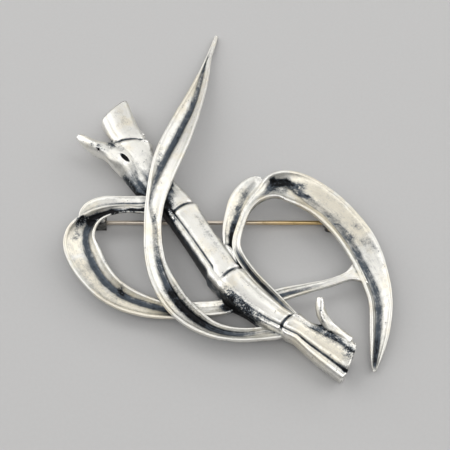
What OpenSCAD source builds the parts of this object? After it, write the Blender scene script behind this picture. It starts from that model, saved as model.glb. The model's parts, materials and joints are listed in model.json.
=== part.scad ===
// Bamboo brooch: a cut bamboo culm with three long leaves, cast in one with its struts
// and twigs, and a hinged wire pin on its back. It lies on its back: Z = 0 is the surface
// that it lies on, +Z is up out of its face, and +Y runs towards the tall leaf's tip.
// The origin is under the middle of the outline. Sizes are in millimetres.

/* [Stalk] */
// Thickness of the hollow stalk's wall
stalk_wall = 1.1; // [0.8:0.1:1.4]
// How far a node's lip stands out past the stalk
node_lip = 0.35; // [0.2:0.05:0.5]
// Depth of the cut above a node's lip
node_cut = 0.55; // [0.3:0.05:0.7]

/* [Leaves] */
// Share of a leaf's half width that its rounded rim takes
rim_share = 0.2; // [0.12:0.02:0.26]
// Share of a leaf's half width that its underside takes
keel_share = 0.6; // [0.5:0.05:0.7]

/* [Pin] */
// Diameter of the pin's wire
pin_d = 0.9; // [0.8:0.05:1]
// Height of the pin's centre line above the surface
pin_z = 1.3; // [1.25:0.05:1.35]
// Distance from the hinge to the pin's point
pin_reach = 50.5; // [49.5:0.5:51]
// Length of the pin's tapered point
point_l = 3; // [2:0.5:4]
// Diameter of the point's end
point_d = 0.12; // [0.1:0.02:0.2]

/* [Hinge] */
// Diameter of the hinge's rivet
rivet_d = 0.9; // [0.7:0.1:1]
// Running clearance between the rivet and the pin's knuckle, on the radius
rivet_play = 0.05; // [0.03:0.01:0.08]
// Width of the pin's knuckle
knuckle_w = 1.8; // [1.6:0.1:2]
// Thickness of the hinge's ears and of the plates on the back
plate_t = 0.6; // [0.5:0.05:0.7]

/* [Hidden] */
$fn = 48;

// The pin runs along X at this Y, from the hinge on the right to the catch on the left.
pin_y = -9.1;
hinge_x = 22.4;
catch_x = -26.6;
catch_l = 2.6;
knuckle_r = 0.9;
ear_r = pin_z;
ear_gap = knuckle_w + 0.2;
seat_gap = 0.05;
plate_z = pin_z + knuckle_r + 0.2;
seat_z = plate_z + plate_t + seat_gap;
hinge_plate = [3.6, 3.6];
hinge_seat_top = 4.2;
catch_plate = [3, 2.6];
catch_seat_top = 4.8;
// Play of the rivet in the ears, and how far joined shapes run into each other
ear_play = 0.02;
lap = 0.1;
rivet_head_d = 1.3;
rivet_head_t = 0.25;
catch_play = 0.15;
catch_side = 0.6;

// Columns of a leaf's table: the middle of the section at the height of its rims, half
// the width, the height, the groove's depth, the groove's place across the section from
// -1 (left of the way that the leaf grows) to 1, and the roll that lifts its right side.
X = 0;
Y = 1;
Z = 2;
W = 3;
H = 4;
G = 5;
C = 6;
R = 7;

tall_leaf_rows = [
    [13.3, -34.8, 4.2, 1.0, 1.7, 0.1, 0.2, 0],
    [10.4, -35.4, 3.9, 1.5, 2.3, 0.1, 0.2, 0],
    [6.9, -35.9, 4.0, 1.4, 2.4, 0.3, 0.2, 0],
    [2.7, -35.9, 4.3, 1.3, 2.3, 0.6, 0.1, 0],
    [-1.9, -34.9, 4.5, 1.5, 2.3, 0.9, 0.2, 0],
    [-5.6, -32.9, 4.8, 2.1, 2.3, 1.1, 0.2, 0],
    [-8.9, -30.1, 5.1, 2.4, 2.3, 1.2, 0.2, 0],
    [-11.4, -26.6, 5.5, 2.4, 2.3, 1.1, 0.2, 0],
    [-13.6, -22.1, 6.0, 2.1, 2.3, 0.9, 0.25, 0],
    [-14.7, -17.0, 6.6, 1.8, 2.4, 0.7, 0.3, 0],
    [-15.0, -12.5, 7.3, 1.7, 2.5, 0.4, 0.3, 0],
    [-14.7, -8.8, 8.0, 2.0, 2.6, 0.2, -0.4, 0],
    [-14.0, -4.7, 8.5, 2.3, 2.7, 0.7, -0.5, 0],
    [-12.5, 1.9, 8.7, 3.0, 2.6, 1.2, 0.05, 0],
    [-10.8, 7.3, 8.3, 3.2, 2.5, 1.4, 0.15, 0],
    [-9.2, 12.9, 7.3, 3.0, 2.4, 1.4, 0.2, 0],
    [-7.5, 19.2, 5.9, 2.5, 2.2, 1.2, 0.3, 0],
    [-5.9, 26.2, 4.3, 1.8, 1.9, 0.8, 0.1, 0],
    [-4.8, 33.3, 2.9, 1.1, 1.6, 0.4, -0.3, 0],
    [-3.6, 38.5, 1.9, 0.7, 1.3, 0.1, -0.2, 0],
    [-2.3, 44.1, 0.8, 0.35, 0.8, 0, 0, 0]
];

left_leaf_rows = [
    [-15.7, -8.8, 5.4, 1.0, 2.0, 0.1, 0, 50],
    [-17.7, -8.6, 5.6, 1.1, 2.0, 0.1, 0, 55],
    [-21.9, -8.6, 5.8, 1.2, 2.0, 0.2, 0, 60],
    [-25.6, -9.4, 5.7, 1.4, 2.0, 0.4, 0, 55],
    [-28.0, -11.0, 5.4, 2.0, 2.0, 0.8, -0.2, 40],
    [-29.6, -13.2, 5.0, 3.0, 2.2, 1.1, -0.3, 20],
    [-29.8, -15.7, 4.6, 3.5, 2.2, 1.2, -0.3, 8],
    [-28.6, -18.7, 4.3, 3.5, 2.2, 1.2, -0.3, 0],
    [-26.4, -22.3, 4.1, 3.2, 2.2, 1.2, -0.25, 0],
    [-23.4, -25.6, 3.9, 2.9, 2.2, 1.1, -0.2, 0],
    [-19.9, -27.8, 3.6, 2.6, 2.1, 1.0, -0.25, 0],
    [-16.3, -29.1, 3.4, 2.3, 2.0, 0.8, -0.3, 0],
    [-13.2, -29.8, 3.2, 2.0, 1.9, 0.7, -0.2, 0],
    [-9.5, -30.1, 3.1, 1.7, 1.9, 0.6, 0, 0],
    [-5.0, -29.8, 3.1, 1.5, 1.9, 0.6, 0, 0],
    [-2.9, -29.7, 3.2, 1.5, 1.9, 0.6, 0, 0],
    [1.2, -29.2, 3.5, 1.5, 1.9, 0.5, 0, 0],
    [4.6, -27.9, 4.6, 1.2, 1.6, 0.3, 0, 0]
];

left_lobe_rows = [
    [-15.6, -6.2, 5.5, 1.2, 1.8, 0.4, -0.4, 0],
    [-18.3, -6.3, 5.7, 1.3, 1.8, 0.5, -0.4, 0],
    [-21.3, -6.4, 5.8, 1.3, 1.8, 0.5, -0.4, 0],
    [-24.3, -6.5, 5.8, 1.5, 1.8, 0.4, -0.4, 0],
    [-26.5, -7.1, 5.7, 1.8, 1.8, 0.3, -0.3, 0],
    [-28.3, -8.0, 5.4, 1.8, 1.8, 0.2, -0.2, 0],
    [-29.4, -9.4, 5.0, 1.4, 1.7, 0.1, 0, 0],
    [-29.5, -10.5, 4.6, 0.8, 1.5, 0, 0, 0]
];

right_leaf_rows = [
    [14.8, -33.3, 5.0, 0.6, 2.0, 0, 0, 0],
    [13.5, -32.2, 5.3, 0.7, 2.0, 0.1, 0, 0],
    [9.1, -27.6, 5.8, 1.0, 2.4, 0.2, 0, 0],
    [5.8, -24.0, 6.0, 1.1, 2.6, 0.2, 0, 0],
    [3.2, -20.1, 6.2, 1.1, 2.6, 0.2, 0, 0],
    [2.2, -17.0, 6.3, 0.9, 2.5, 0.2, 0, 0],
    [2.9, -13.5, 6.4, 0.8, 2.4, 0.2, 0, 0],
    [4.4, -9.0, 6.5, 0.8, 2.4, 0.2, 0, 0],
    [6.3, -6.2, 6.5, 1.0, 2.3, 0.2, 0, 0],
    [8.4, -4.3, 6.5, 1.8, 2.2, 0.4, 0.1, 0],
    [10.4, -3.3, 6.4, 2.9, 2.2, 1.0, 0.2, 0],
    [12.5, -2.8, 6.3, 3.6, 2.2, 1.3, 0.1, 0],
    [14.9, -3.1, 6.2, 3.9, 2.2, 1.3, 0.15, 0],
    [18.4, -4.9, 6.0, 3.8, 2.2, 1.2, 0.25, 0],
    [22.0, -7.8, 5.7, 3.7, 2.2, 1.2, 0.25, 0],
    [25.2, -11.7, 5.3, 3.6, 2.2, 1.2, 0.3, 0],
    [27.7, -15.8, 4.9, 3.6, 2.1, 1.2, 0.35, 0],
    [29.2, -19.6, 4.5, 3.3, 2.1, 1.2, 0.35, 0],
    [30.3, -23.8, 4.1, 2.9, 2.0, 1.1, 0.25, 0],
    [31.0, -28.3, 3.6, 2.4, 2.0, 1.0, 0.15, 0],
    [30.5, -33.0, 3.0, 2.1, 1.9, 0.9, 0.1, 0],
    [29.8, -37.0, 2.4, 1.6, 1.8, 0.7, 0.1, 0],
    [29.0, -40.4, 1.7, 0.9, 1.5, 0.3, 0, 0],
    [28.7, -42.2, 1.2, 0.3, 1.1, 0, 0, 0]
];

right_lobe_rows = [
    [0.2, -18.2, 5.9, 1.2, 2.0, 0.5, 0.3, 0],
    [0.9, -16.7, 6.0, 1.4, 2.0, 0.8, 0.3, 0],
    [1.0, -14.0, 6.1, 1.6, 2.0, 1.0, 0.3, 0],
    [1.9, -9.8, 6.1, 2.0, 2.0, 0.8, 0.3, 0],
    [3.2, -5.9, 6.2, 2.2, 2.0, 0.4, 0.3, 0],
    [5.3, -3.0, 6.2, 2.1, 2.0, 0.2, 0.2, 0],
    [7.3, -1.4, 6.1, 1.2, 1.8, 0, 0, 0]
];

right_strut_rows = [
    [9.0, -28.1, 4.2, 1.5, 1.8, 0.5, 0, 0],
    [11.3, -27.1, 4.3, 1.4, 1.8, 0.5, 0, 0],
    [15.3, -26.0, 4.3, 1.0, 1.7, 0.3, 0, 0],
    [20.3, -24.7, 4.2, 0.75, 1.6, 0.1, 0, 0],
    [23.7, -23.6, 4.2, 0.75, 1.6, 0, 0, 0],
    [25.7, -22.9, 4.2, 1.0, 1.7, 0, 0, 0],
    [27.6, -22.4, 3.8, 1.7, 1.4, 0, 0, 0]
];

// Columns of the stalk's table: the middle of the section at its top, half the width, the
// height of the side walls, the depths of the left and the right flute, the share of the
// half width that the walls keep at their foot, the share of the height that is hollowed
// out from below, and 1 at a node. The stalk grows from its stub down to its cut end.
GL = 5;
GR = 6;
T = 7;
V = 8;
N = 9;

stalk_rows = [
    [-26.9, 22.2, 5.0, 3.3, 4.0, 0.1, 0, 0.8, 0.1, 0],
    [-24.9, 18.2, 5.3, 3.3, 4.2, 0.1, 0, 0.8, 0.1, 0],
    [-23.4, 14.2, 5.6, 3.3, 4.3, 0.1, 0, 0.8, 0.1, 0],
    [-21.3, 10.6, 5.8, 2.9, 4.4, 0.1, 0, 0.8, 0.1, 0],
    [-20.2, 8.7, 6.2, 2.9, 4.6, 0.1, 0, 0.9, 0.2, 1],
    [-18.6, 5.3, 6.1, 3.1, 4.8, 0.1, 0, 0.9, 0.6, 0],
    [-16.3, 1.5, 6.1, 3.3, 5.0, 0.2, 0, 1, 1, 0],
    [-12.9, -3.6, 6.4, 3.2, 4.5, 0.3, 0, 1, 1, 0],
    [-9.0, -9.0, 6.8, 3.3, 4.1, 0.4, 0, 1, 1, 1],
    [-5.1, -15.0, 6.9, 3.2, 4.7, 0.4, 0, 1, 1, 0],
    [-1.6, -20.5, 7.0, 3.2, 5.5, 0.4, 0, 1, 1, 0],
    [0.9, -24.4, 7.1, 3.4, 5.5, 0.3, 0, 1, 0.5, 1],
    [5.6, -29.6, 6.9, 3.2, 5.4, 0.1, 0, 0.9, 0.2, 0],
    [9.3, -32.3, 6.6, 2.9, 5.2, 0.1, 0, 0.8, 0.2, 0],
    [12.2, -33.9, 6.3, 2.6, 5.2, 0.3, 0.2, 0.7, 0.1, 1],
    [14.9, -35.2, 6.0, 2.7, 5.3, 0.8, 0.5, 0.6, 0.3, 0],
    [17.2, -36.4, 5.7, 3.1, 5.3, 0.9, 0.6, 0.6, 0.8, 0],
    [19.8, -37.9, 5.4, 3.5, 5.2, 0.9, 0.6, 0.6, 1, 0],
    [23.7, -40.3, 5.0, 3.9, 5.0, 0.9, 0.6, 0.6, 1, 0],
    [27.3, -42.5, 4.8, 4.1, 4.8, 0.9, 0.6, 0.6, 1, 0]
];

// Steps along the stalk at a node, from the cut above the lip to the plain culm below
// it: distance along the stalk, width added to each side, height added.
node_steps = [
    [-1.1, -0.05, 0],
    [-0.35, -node_cut * 0.7, -node_cut],
    [0.05, -node_cut * 0.5, -node_cut * 0.8],
    [0.25, node_lip, node_lip * 0.6],
    [0.9, node_lip * 0.8, node_lip * 0.5],
    [2, 0, 0]
];

// Columns of a twig's table: the middle of each round section and its radius.
side_twig_rows = [
    [-32.2, 11.1, 4.3, 0.8],
    [-30.2, 9.6, 4.3, 1.2],
    [-26.8, 7.9, 4.2, 1.6],
    [-23.6, 6.3, 4.1, 1.9],
    [-20.4, 4.1, 4.0, 2.1]
];
thorn_rows = [
    [18.4, -29.7, 7.2, 0.55],
    [18.7, -31.0, 6.4, 0.65],
    [19.2, -32.4, 5.6, 0.75],
    [20.4, -33.8, 4.8, 0.85],
    [22.8, -35.5, 4.2, 1.1]
];

// Columns of the dents in the cast stub: the middle of one end, the radius, and the run to
// the other end along X, Y and Z.
RUN = 4;
dent_rows = [
    [-22.3, 5.0, 6.1, 0.55, 1.0, -1.5, 0],
    [-27.6, 7.1, 5.5, 0.4, 0.3, -0.2, 0]
];

// Steps that a leaf's spline adds between two rows of its table
leaf_steps = 2;

function row_at(rows, i) = rows[max(0, min(len(rows) - 1, i))];

// Catmull-Rom value of all columns at share t between rows i and i + 1
function between(rows, i, t) =
    let (a = row_at(rows, i - 1), b = rows[i], c = rows[i + 1], d = row_at(rows, i + 2))
    0.5 * (2 * b + (c - a) * t + (2 * a - 5 * b + 4 * c - d) * t * t
        + (3 * b - a - 3 * c + d) * t * t * t);

function smooth_rows(rows, steps) = concat(
    [for (i = [0 : len(rows) - 2]) for (k = [0 : steps - 1]) between(rows, i, k / steps)],
    [rows[len(rows) - 1]]
);

function place(row) = [row[X], row[Y], row[Z]];
function unit(v) = v / norm(v);
function heading(rows, i) = unit(place(row_at(rows, i + 1)) - place(row_at(rows, i - 1)));

function level(v) = unit([v[0], v[1], 0]);

// One section laid in space: across is level, up is square to it and to the heading.
function laid_section(middle, ahead, section, roll) =
    let (
        across = unit(cross(ahead, [0, 0, 1])),
        up = cross(across, ahead),
        right = across * cos(roll) + up * sin(roll),
        out = up * cos(roll) - across * sin(roll)
    )
    [for (p = section) middle + right * p[0] + out * p[1]];

function mix(a, b, t) = a + (b - a) * t;

// A leaf's channel section, from its keel round the right rim and the groove to the left
function leaf_section(row) =
    let (w = row[W], h = row[H], g = row[G], rim = w * (1 - rim_share), mid = w * row[C])
    [
        [0, -h],
        [w * keel_share, -h * 0.92],
        [w * 0.93, -h * 0.6],
        [w, -h * 0.25],
        [w * 0.95, -h * 0.06],
        [rim, 0],
        [mix(rim, mid, 0.35), -g * 0.5],
        [mix(rim, mid, 0.75), -g * 0.95],
        [mid, -g],
        [mix(-rim, mid, 0.75), -g * 0.95],
        [mix(-rim, mid, 0.35), -g * 0.5],
        [-rim, 0],
        [-w * 0.95, -h * 0.06],
        [-w, -h * 0.25],
        [-w * 0.93, -h * 0.6],
        [-w * keel_share, -h * 0.92]
    ];

// The stalk's section: fluted top, upright or tucked side walls and a hollow open below
function stalk_section(row) =
    let (
        w = row[W],
        h = row[H],
        foot = w * row[T],
        hip = w * mix(row[T], 1.03, 0.85),
        cave = row[V] * (h - stalk_wall - 0.8)
    )
    [
        [foot - stalk_wall, -h],
        [foot, -h],
        [hip, -h * 0.62],
        [w, -1.1],
        [w * 0.88, -0.45],
        [w * 0.66, -0.2],
        [w * 0.5, -0.15 - row[GL]],
        [w * 0.35, -0.02],
        [0, 0.05],
        [-w * 0.3, 0],
        [-w * 0.48, -0.1 - row[GR]],
        [-w * 0.64, -0.2],
        [-w * 0.88, -0.7],
        [-w, -1.5],
        [-hip, -h * 0.62],
        [-foot, -h],
        [stalk_wall - foot, -h],
        [stalk_wall - foot * 0.98, -h + cave * 0.6],
        [-foot * 0.4, -h + cave],
        [foot * 0.4, -h + cave],
        [foot * 0.98 - stalk_wall, -h + cave * 0.6]
    ];

function node_rows(rows, i) =
    let (row = rows[i], ahead = heading(rows, i))
    [for (s = node_steps) [
        row[X] + ahead[0] * s[0],
        row[Y] + ahead[1] * s[0],
        row[Z] + s[2],
        row[W] + s[1],
        row[H] + s[2],
        row[GL],
        row[GR],
        row[T],
        row[V],
        0
    ]];

function stalk_stations() = [
    for (i = [0 : len(stalk_rows) - 1])
        for (row = stalk_rows[i][N] == 1 ? node_rows(stalk_rows, i) : [stalk_rows[i]]) row
];

// A closed skin over equal rings of points
module skin(rings) {
    n = len(rings[0]);
    last = len(rings) - 1;
    points = [for (ring = rings) for (p = ring) p];
    sides = [for (i = [0 : last - 1]) for (k = [0 : n - 1]) each [
        [i * n + k, i * n + (k + 1) % n, (i + 1) * n + k],
        [i * n + (k + 1) % n, (i + 1) * n + (k + 1) % n, (i + 1) * n + k]
    ]];
    start = [[for (k = [n - 1 : -1 : 0]) k]];
    end = [[for (k = [0 : n - 1]) last * n + k]];
    polyhedron(points = points, faces = concat(sides, start, end), convexity = 10);
}

module leaf(rows) {
    path = smooth_rows(rows, leaf_steps);
    skin([for (i = [0 : len(path) - 1])
        laid_section(place(path[i]), heading(path, i), leaf_section(path[i]), path[i][R])]);
}

module bead(row) {
    translate(place(row)) sphere(r = row[3], $fn = 12);
}

module twig(rows) {
    for (i = [0 : len(rows) - 2]) {
        hull() {
            bead(rows[i]);
            bead(rows[i + 1]);
        }
    }
}

// Both ends of the stalk are cut at a slant. Columns: a place on the cut, and its turn.
cut_block = [12, 30, 20];
cuts = [
    [-24.9, 19.1, 139],
    [23.7, -40.5, -21]
];

module stalk() {
    path = stalk_stations();
    difference() {
        skin([for (i = [0 : len(path) - 1])
            laid_section(place(path[i]), level(heading(path, i)), stalk_section(path[i]), 0)]);
        for (cut = cuts) {
            translate([cut[X], cut[Y], -lap]) rotate([0, 0, cut[Z]]) {
                translate([0, -cut_block[1] / 2, 0]) cube(cut_block);
            }
        }
    }
}

module dents() {
    for (row = dent_rows) {
        hull() {
            bead(row);
            translate([row[RUN], row[RUN + 1], row[RUN + 2]]) bead(row);
        }
    }
}

// A flat cast seat under a leaf, which a plate of the pin's fittings lies against
module seat(x, size, top) {
    translate([x - size[0] / 2, pin_y - size[1] / 2, seat_z]) cube([size[0], size[1], top - seat_z]);
}

module spray() {
    color("silver") difference() {
        union() {
            stalk();
            leaf(tall_leaf_rows);
            leaf(left_leaf_rows);
            leaf(left_lobe_rows);
            leaf(right_leaf_rows);
            leaf(right_lobe_rows);
            leaf(right_strut_rows);
            twig(side_twig_rows);
            twig(thorn_rows);
            seat(hinge_x, hinge_plate, hinge_seat_top);
            seat(catch_x, catch_plate, catch_seat_top);
        }
        dents();
    }
}

module plate(x, size) {
    translate([x - size[0] / 2, pin_y - size[1] / 2, plate_z]) cube([size[0], size[1], plate_t]);
}

// An outline in the XZ plane, drawn with x and z, set to run along Y about the pin's line
module along_y(length) {
    translate([0, length / 2, 0]) rotate([90, 0, 0]) linear_extrude(length) children();
}

module ear() {
    along_y(plate_t) difference() {
        union() {
            translate([0, pin_z]) circle(r = ear_r);
            translate([-ear_r, pin_z]) square([2 * ear_r, plate_z - pin_z + lap]);
        }
        translate([0, pin_z]) circle(r = rivet_d / 2 + ear_play);
    }
}

module hinge_bracket() {
    color("darkgoldenrod") union() {
        plate(hinge_x, hinge_plate);
        for (side = [-1, 1]) {
            translate([hinge_x, pin_y + side * (ear_gap + plate_t) / 2, 0]) ear();
        }
    }
}

module hinge_rivet() {
    grip = ear_gap + 2 * (plate_t + seat_gap);
    color("goldenrod") translate([hinge_x, pin_y, pin_z]) rotate([90, 0, 0]) union() {
        cylinder(d = rivet_d, h = grip + lap, center = true);
        for (side = [-1, 1]) {
            translate([0, 0, side * (grip + rivet_head_t) / 2]) {
                cylinder(d = rivet_head_d, h = rivet_head_t, center = true);
            }
        }
    }
}

module pin_stem() {
    straight_l = pin_reach - point_l;
    color("goldenrod") translate([hinge_x, pin_y, pin_z]) difference() {
        union() {
            rotate([90, 0, 0]) cylinder(r = knuckle_r, h = knuckle_w, center = true);
            rotate([0, -90, 0]) cylinder(d = pin_d, h = straight_l);
            translate([-straight_l, 0, 0]) rotate([0, -90, 0]) {
                cylinder(d1 = pin_d, d2 = point_d, h = point_l);
            }
        }
        rotate([90, 0, 0]) cylinder(r = rivet_d / 2 + rivet_play, h = knuckle_w + lap, center = true);
    }
}

module catch() {
    slot_r = pin_d / 2 + catch_play;
    outer_r = slot_r + catch_side;
    color("silver") union() {
        plate(catch_x, catch_plate);
        translate([catch_x - catch_l / 2, pin_y, 0]) rotate([90, 0, 90]) linear_extrude(catch_l) {
            difference() {
                translate([-outer_r, 0]) square([2 * outer_r, plate_z + lap]);
                translate([0, pin_z]) circle(r = slot_r);
                translate([-slot_r, -lap]) square([2 * slot_r, pin_z + lap]);
            }
        }
    }
}

spray();
hinge_bracket();
hinge_rivet();
pin_stem();
catch();
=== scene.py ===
"""Bamboo brooch: a cast silver spray with darkened grooves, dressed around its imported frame.

The file is laid out as an add-on and run as a script. Lengths in tables are millimetres, in
the frame's own axes: Z = 0 is the surface that the brooch lies on, +Z is up out of its face.
"""

import json
import math
from collections import namedtuple

import bmesh
import bpy
import numpy as np
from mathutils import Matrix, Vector
from mathutils.bvhtree import BVHTree
from mathutils.kdtree import KDTree
from mathutils.noise import noise_vector

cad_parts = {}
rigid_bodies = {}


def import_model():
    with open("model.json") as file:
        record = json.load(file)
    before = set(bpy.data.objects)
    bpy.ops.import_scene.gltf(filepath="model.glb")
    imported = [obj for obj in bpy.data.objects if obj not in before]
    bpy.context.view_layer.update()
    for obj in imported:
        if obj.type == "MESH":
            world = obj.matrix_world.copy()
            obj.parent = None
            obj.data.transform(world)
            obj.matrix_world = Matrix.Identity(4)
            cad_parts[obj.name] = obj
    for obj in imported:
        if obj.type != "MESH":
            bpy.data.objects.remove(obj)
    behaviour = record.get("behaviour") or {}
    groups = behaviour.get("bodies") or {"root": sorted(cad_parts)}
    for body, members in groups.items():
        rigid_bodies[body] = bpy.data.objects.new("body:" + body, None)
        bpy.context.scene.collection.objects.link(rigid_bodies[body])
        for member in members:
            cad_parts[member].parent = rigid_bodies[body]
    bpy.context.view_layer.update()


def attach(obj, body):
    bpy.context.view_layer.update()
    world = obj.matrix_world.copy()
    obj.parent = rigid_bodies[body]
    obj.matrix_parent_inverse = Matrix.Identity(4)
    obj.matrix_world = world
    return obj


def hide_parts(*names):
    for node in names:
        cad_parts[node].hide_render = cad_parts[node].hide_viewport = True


bl_info = {
    "name": "Bamboo brooch",
    "version": (1, 0, 0),
    "blender": (4, 5, 0),
    "location": "View3D > Sidebar > Brooch",
    "description": "Builds a cast silver bamboo brooch and its pin around a packed frame",
    "category": "Object",
}

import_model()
MM = 0.001
UP = Vector((0, 0, 1))

# Columns of a leaf's table: the middle of the section at the height of its rims, half the
# width, the height, the groove's depth, its place across the section from -1 (left of the
# way that the leaf grows) to 1, how dark the groove is, 0 to 1, and the roll in degrees.
Leaf = namedtuple("Leaf", "x y z half height groove place dark roll", defaults=(0,))

TALL_LEAF = [
    Leaf(13.3, -34.8, 4.8, 1.2, 1.8, 0.1, 0.2, 0.1),
    Leaf(10.4, -35.1, 4.7, 1.5, 2.3, 0.2, 0.2, 0.1),
    Leaf(6.9, -35.5, 4.5, 1.4, 2.4, 0.4, 0.2, 0.3),
    Leaf(2.7, -35.7, 4.4, 1.4, 2.3, 0.7, 0.1, 0.7),
    Leaf(-1.9, -34.9, 4.5, 1.6, 2.3, 0.9, 0.2, 0.9),
    Leaf(-5.6, -32.9, 4.8, 2.1, 2.3, 1.1, 0.2, 1.0),
    Leaf(-8.9, -30.1, 5.1, 2.4, 2.3, 1.15, 0.2, 1.0),
    Leaf(-11.4, -26.6, 5.5, 2.4, 2.3, 1.05, 0.2, 0.9),
    Leaf(-13.6, -22.1, 6.0, 2.1, 2.3, 0.9, 0.3, 0.6),
    Leaf(-14.6, -17.0, 6.6, 1.9, 2.4, 0.6, 0.2, 0.25),
    Leaf(-14.8, -12.5, 7.3, 1.8, 2.5, 0.4, 0.2, 0.1),
    Leaf(-14.6, -8.8, 8.0, 2.0, 2.6, 0.35, -0.55, 0.5),
    Leaf(-14.0, -4.7, 8.5, 2.3, 2.7, 0.7, -0.5, 0.6),
    Leaf(-12.5, 1.9, 8.7, 3.0, 2.6, 1.2, -0.25, 0.9),
    Leaf(-10.9, 7.3, 8.3, 3.15, 2.5, 1.4, -0.12, 1.0),
    Leaf(-9.3, 12.9, 7.3, 2.9, 2.4, 1.4, -0.05, 0.9),
    Leaf(-7.6, 19.2, 5.9, 2.45, 2.2, 1.2, 0.03, 0.8),
    Leaf(-5.9, 26.2, 4.3, 1.8, 1.9, 0.8, -0.1, 0.65),
    Leaf(-4.7, 32.0, 3.2, 1.2, 1.7, 0.45, -0.4, 0.6),
    Leaf(-4.1, 35.6, 2.5, 0.75, 1.5, 0.2, -0.6, 0.6),
    Leaf(-3.3, 39.2, 1.8, 0.6, 1.3, 0, -0.3, 0.1),
    Leaf(-2.4, 43.2, 1.1, 0.5, 1.0, 0, 0, 0),
    Leaf(-2.1, 44.9, 0.8, 0.36, 0.8, 0, 0, 0),
]

LEFT_LEAF = [
    Leaf(-15.7, -8.5, 5.5, 0.75, 2.2, 0.1, 0, 0.4, 20),
    Leaf(-17.7, -8.3, 5.7, 0.8, 2.2, 0.1, 0, 0.4, 20),
    Leaf(-21.9, -8.3, 5.9, 0.9, 2.2, 0.15, -0.2, 0.7, 25),
    Leaf(-25.6, -9.2, 5.8, 1.3, 2.1, 0.5, -0.3, 1.1, 30),
    Leaf(-28.0, -10.9, 5.5, 2.0, 2.0, 0.9, -0.3, 1.0, 30),
    Leaf(-29.6, -13.2, 5.0, 3.0, 2.2, 1.1, -0.35, 0.7, 20),
    Leaf(-29.8, -15.7, 4.6, 3.5, 2.2, 1.2, -0.35, 0.75, 8),
    Leaf(-28.6, -18.7, 4.3, 3.5, 2.2, 1.2, -0.3, 0.85),
    Leaf(-26.4, -22.3, 4.1, 3.2, 2.2, 1.2, -0.25, 0.95),
    Leaf(-23.4, -25.6, 3.9, 2.9, 2.2, 1.1, -0.25, 0.95),
    Leaf(-19.9, -27.8, 3.6, 2.6, 2.1, 1.0, -0.25, 0.95),
    Leaf(-16.3, -29.1, 3.4, 2.3, 2.0, 0.8, -0.25, 0.9),
    Leaf(-13.2, -29.8, 3.2, 2.0, 1.9, 0.7, -0.2, 0.8),
    Leaf(-9.5, -30.1, 3.1, 1.7, 1.9, 0.5, 0, 0.4),
    Leaf(-5.0, -29.8, 3.2, 1.6, 1.9, 0.25, 0, 0.15),
    Leaf(-2.9, -29.7, 3.3, 1.6, 1.9, 0.25, 0, 0.15),
    Leaf(1.2, -29.2, 3.6, 1.6, 1.9, 0.3, 0, 0.5),
    Leaf(4.6, -27.9, 4.6, 1.2, 1.6, 0.3, 0, 0.9),
]

LEFT_LOBE = [
    Leaf(-15.6, -6.2, 5.5, 1.2, 1.8, 0.4, -0.4, 0.7),
    Leaf(-18.3, -6.3, 5.7, 1.3, 1.8, 0.5, -0.4, 0.7),
    Leaf(-21.3, -6.4, 5.8, 1.3, 1.8, 0.5, -0.4, 0.6),
    Leaf(-24.3, -6.5, 5.8, 1.5, 1.8, 0.4, -0.4, 0.5),
    Leaf(-26.5, -7.1, 5.7, 1.8, 1.8, 0.3, -0.3, 0.4),
    Leaf(-28.3, -8.0, 5.4, 1.8, 1.8, 0.2, -0.2, 0.3),
    Leaf(-29.4, -9.4, 5.0, 1.4, 1.7, 0.1, 0, 0.2),
    Leaf(-29.5, -10.5, 4.6, 0.8, 1.5, 0, 0, 0.1),
]

RIGHT_LEAF = [
    Leaf(14.8, -33.3, 5.0, 0.6, 2.0, 0, 0, 0.1),
    Leaf(13.5, -32.2, 5.3, 0.7, 2.0, 0.1, 0, 0.2),
    Leaf(9.1, -27.6, 5.8, 1.0, 2.4, 0.5, 0.05, 1.15),
    Leaf(5.8, -24.0, 6.0, 1.0, 2.6, 0.5, 0.05, 1.15),
    Leaf(3.2, -20.1, 6.2, 1.0, 2.6, 0.5, 0.05, 1.0),
    Leaf(2.2, -17.0, 6.3, 0.9, 2.5, 0.2, 0, 0.2),
    Leaf(2.9, -13.5, 6.4, 0.8, 2.4, 0.2, 0, 0.2),
    Leaf(4.4, -9.0, 6.5, 0.8, 2.4, 0.2, 0, 0.2),
    Leaf(6.3, -6.2, 6.5, 1.0, 2.3, 0.3, 0, 0.3),
    Leaf(8.4, -4.3, 6.5, 1.8, 2.2, 0.6, 0.1, 0.6),
    Leaf(10.2, -3.0, 6.4, 3.0, 2.2, 1.2, -0.25, 0.4),
    Leaf(12.4, -2.5, 6.3, 3.7, 2.2, 1.5, -0.35, 0.6),
    Leaf(14.9, -3.1, 6.2, 3.9, 2.2, 1.4, -0.1, 0.5),
    Leaf(18.4, -4.9, 6.0, 3.8, 2.2, 1.3, 0.3, 0.5),
    Leaf(22.0, -7.8, 5.7, 3.7, 2.2, 1.2, 0.3, 0.5),
    Leaf(25.2, -11.7, 5.3, 3.6, 2.2, 1.2, 0.35, 0.7),
    Leaf(27.7, -15.8, 4.9, 3.6, 2.1, 1.2, 0.35, 0.7),
    Leaf(29.2, -19.6, 4.5, 3.3, 2.1, 1.2, 0.35, 0.78),
    Leaf(30.3, -23.8, 4.1, 2.9, 2.0, 1.1, 0.25, 0.78),
    Leaf(31.0, -28.3, 3.6, 2.4, 2.0, 1.0, 0.15, 0.78),
    Leaf(30.5, -33.0, 3.0, 2.1, 1.9, 0.9, 0.1, 0.8),
    Leaf(29.8, -37.0, 2.4, 1.6, 1.8, 0.7, 0.1, 1.0),
    Leaf(29.0, -40.4, 1.7, 0.9, 1.5, 0.45, 0, 1.1),
    Leaf(28.7, -42.2, 1.2, 0.3, 1.1, 0, 0, 0),
]

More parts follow.
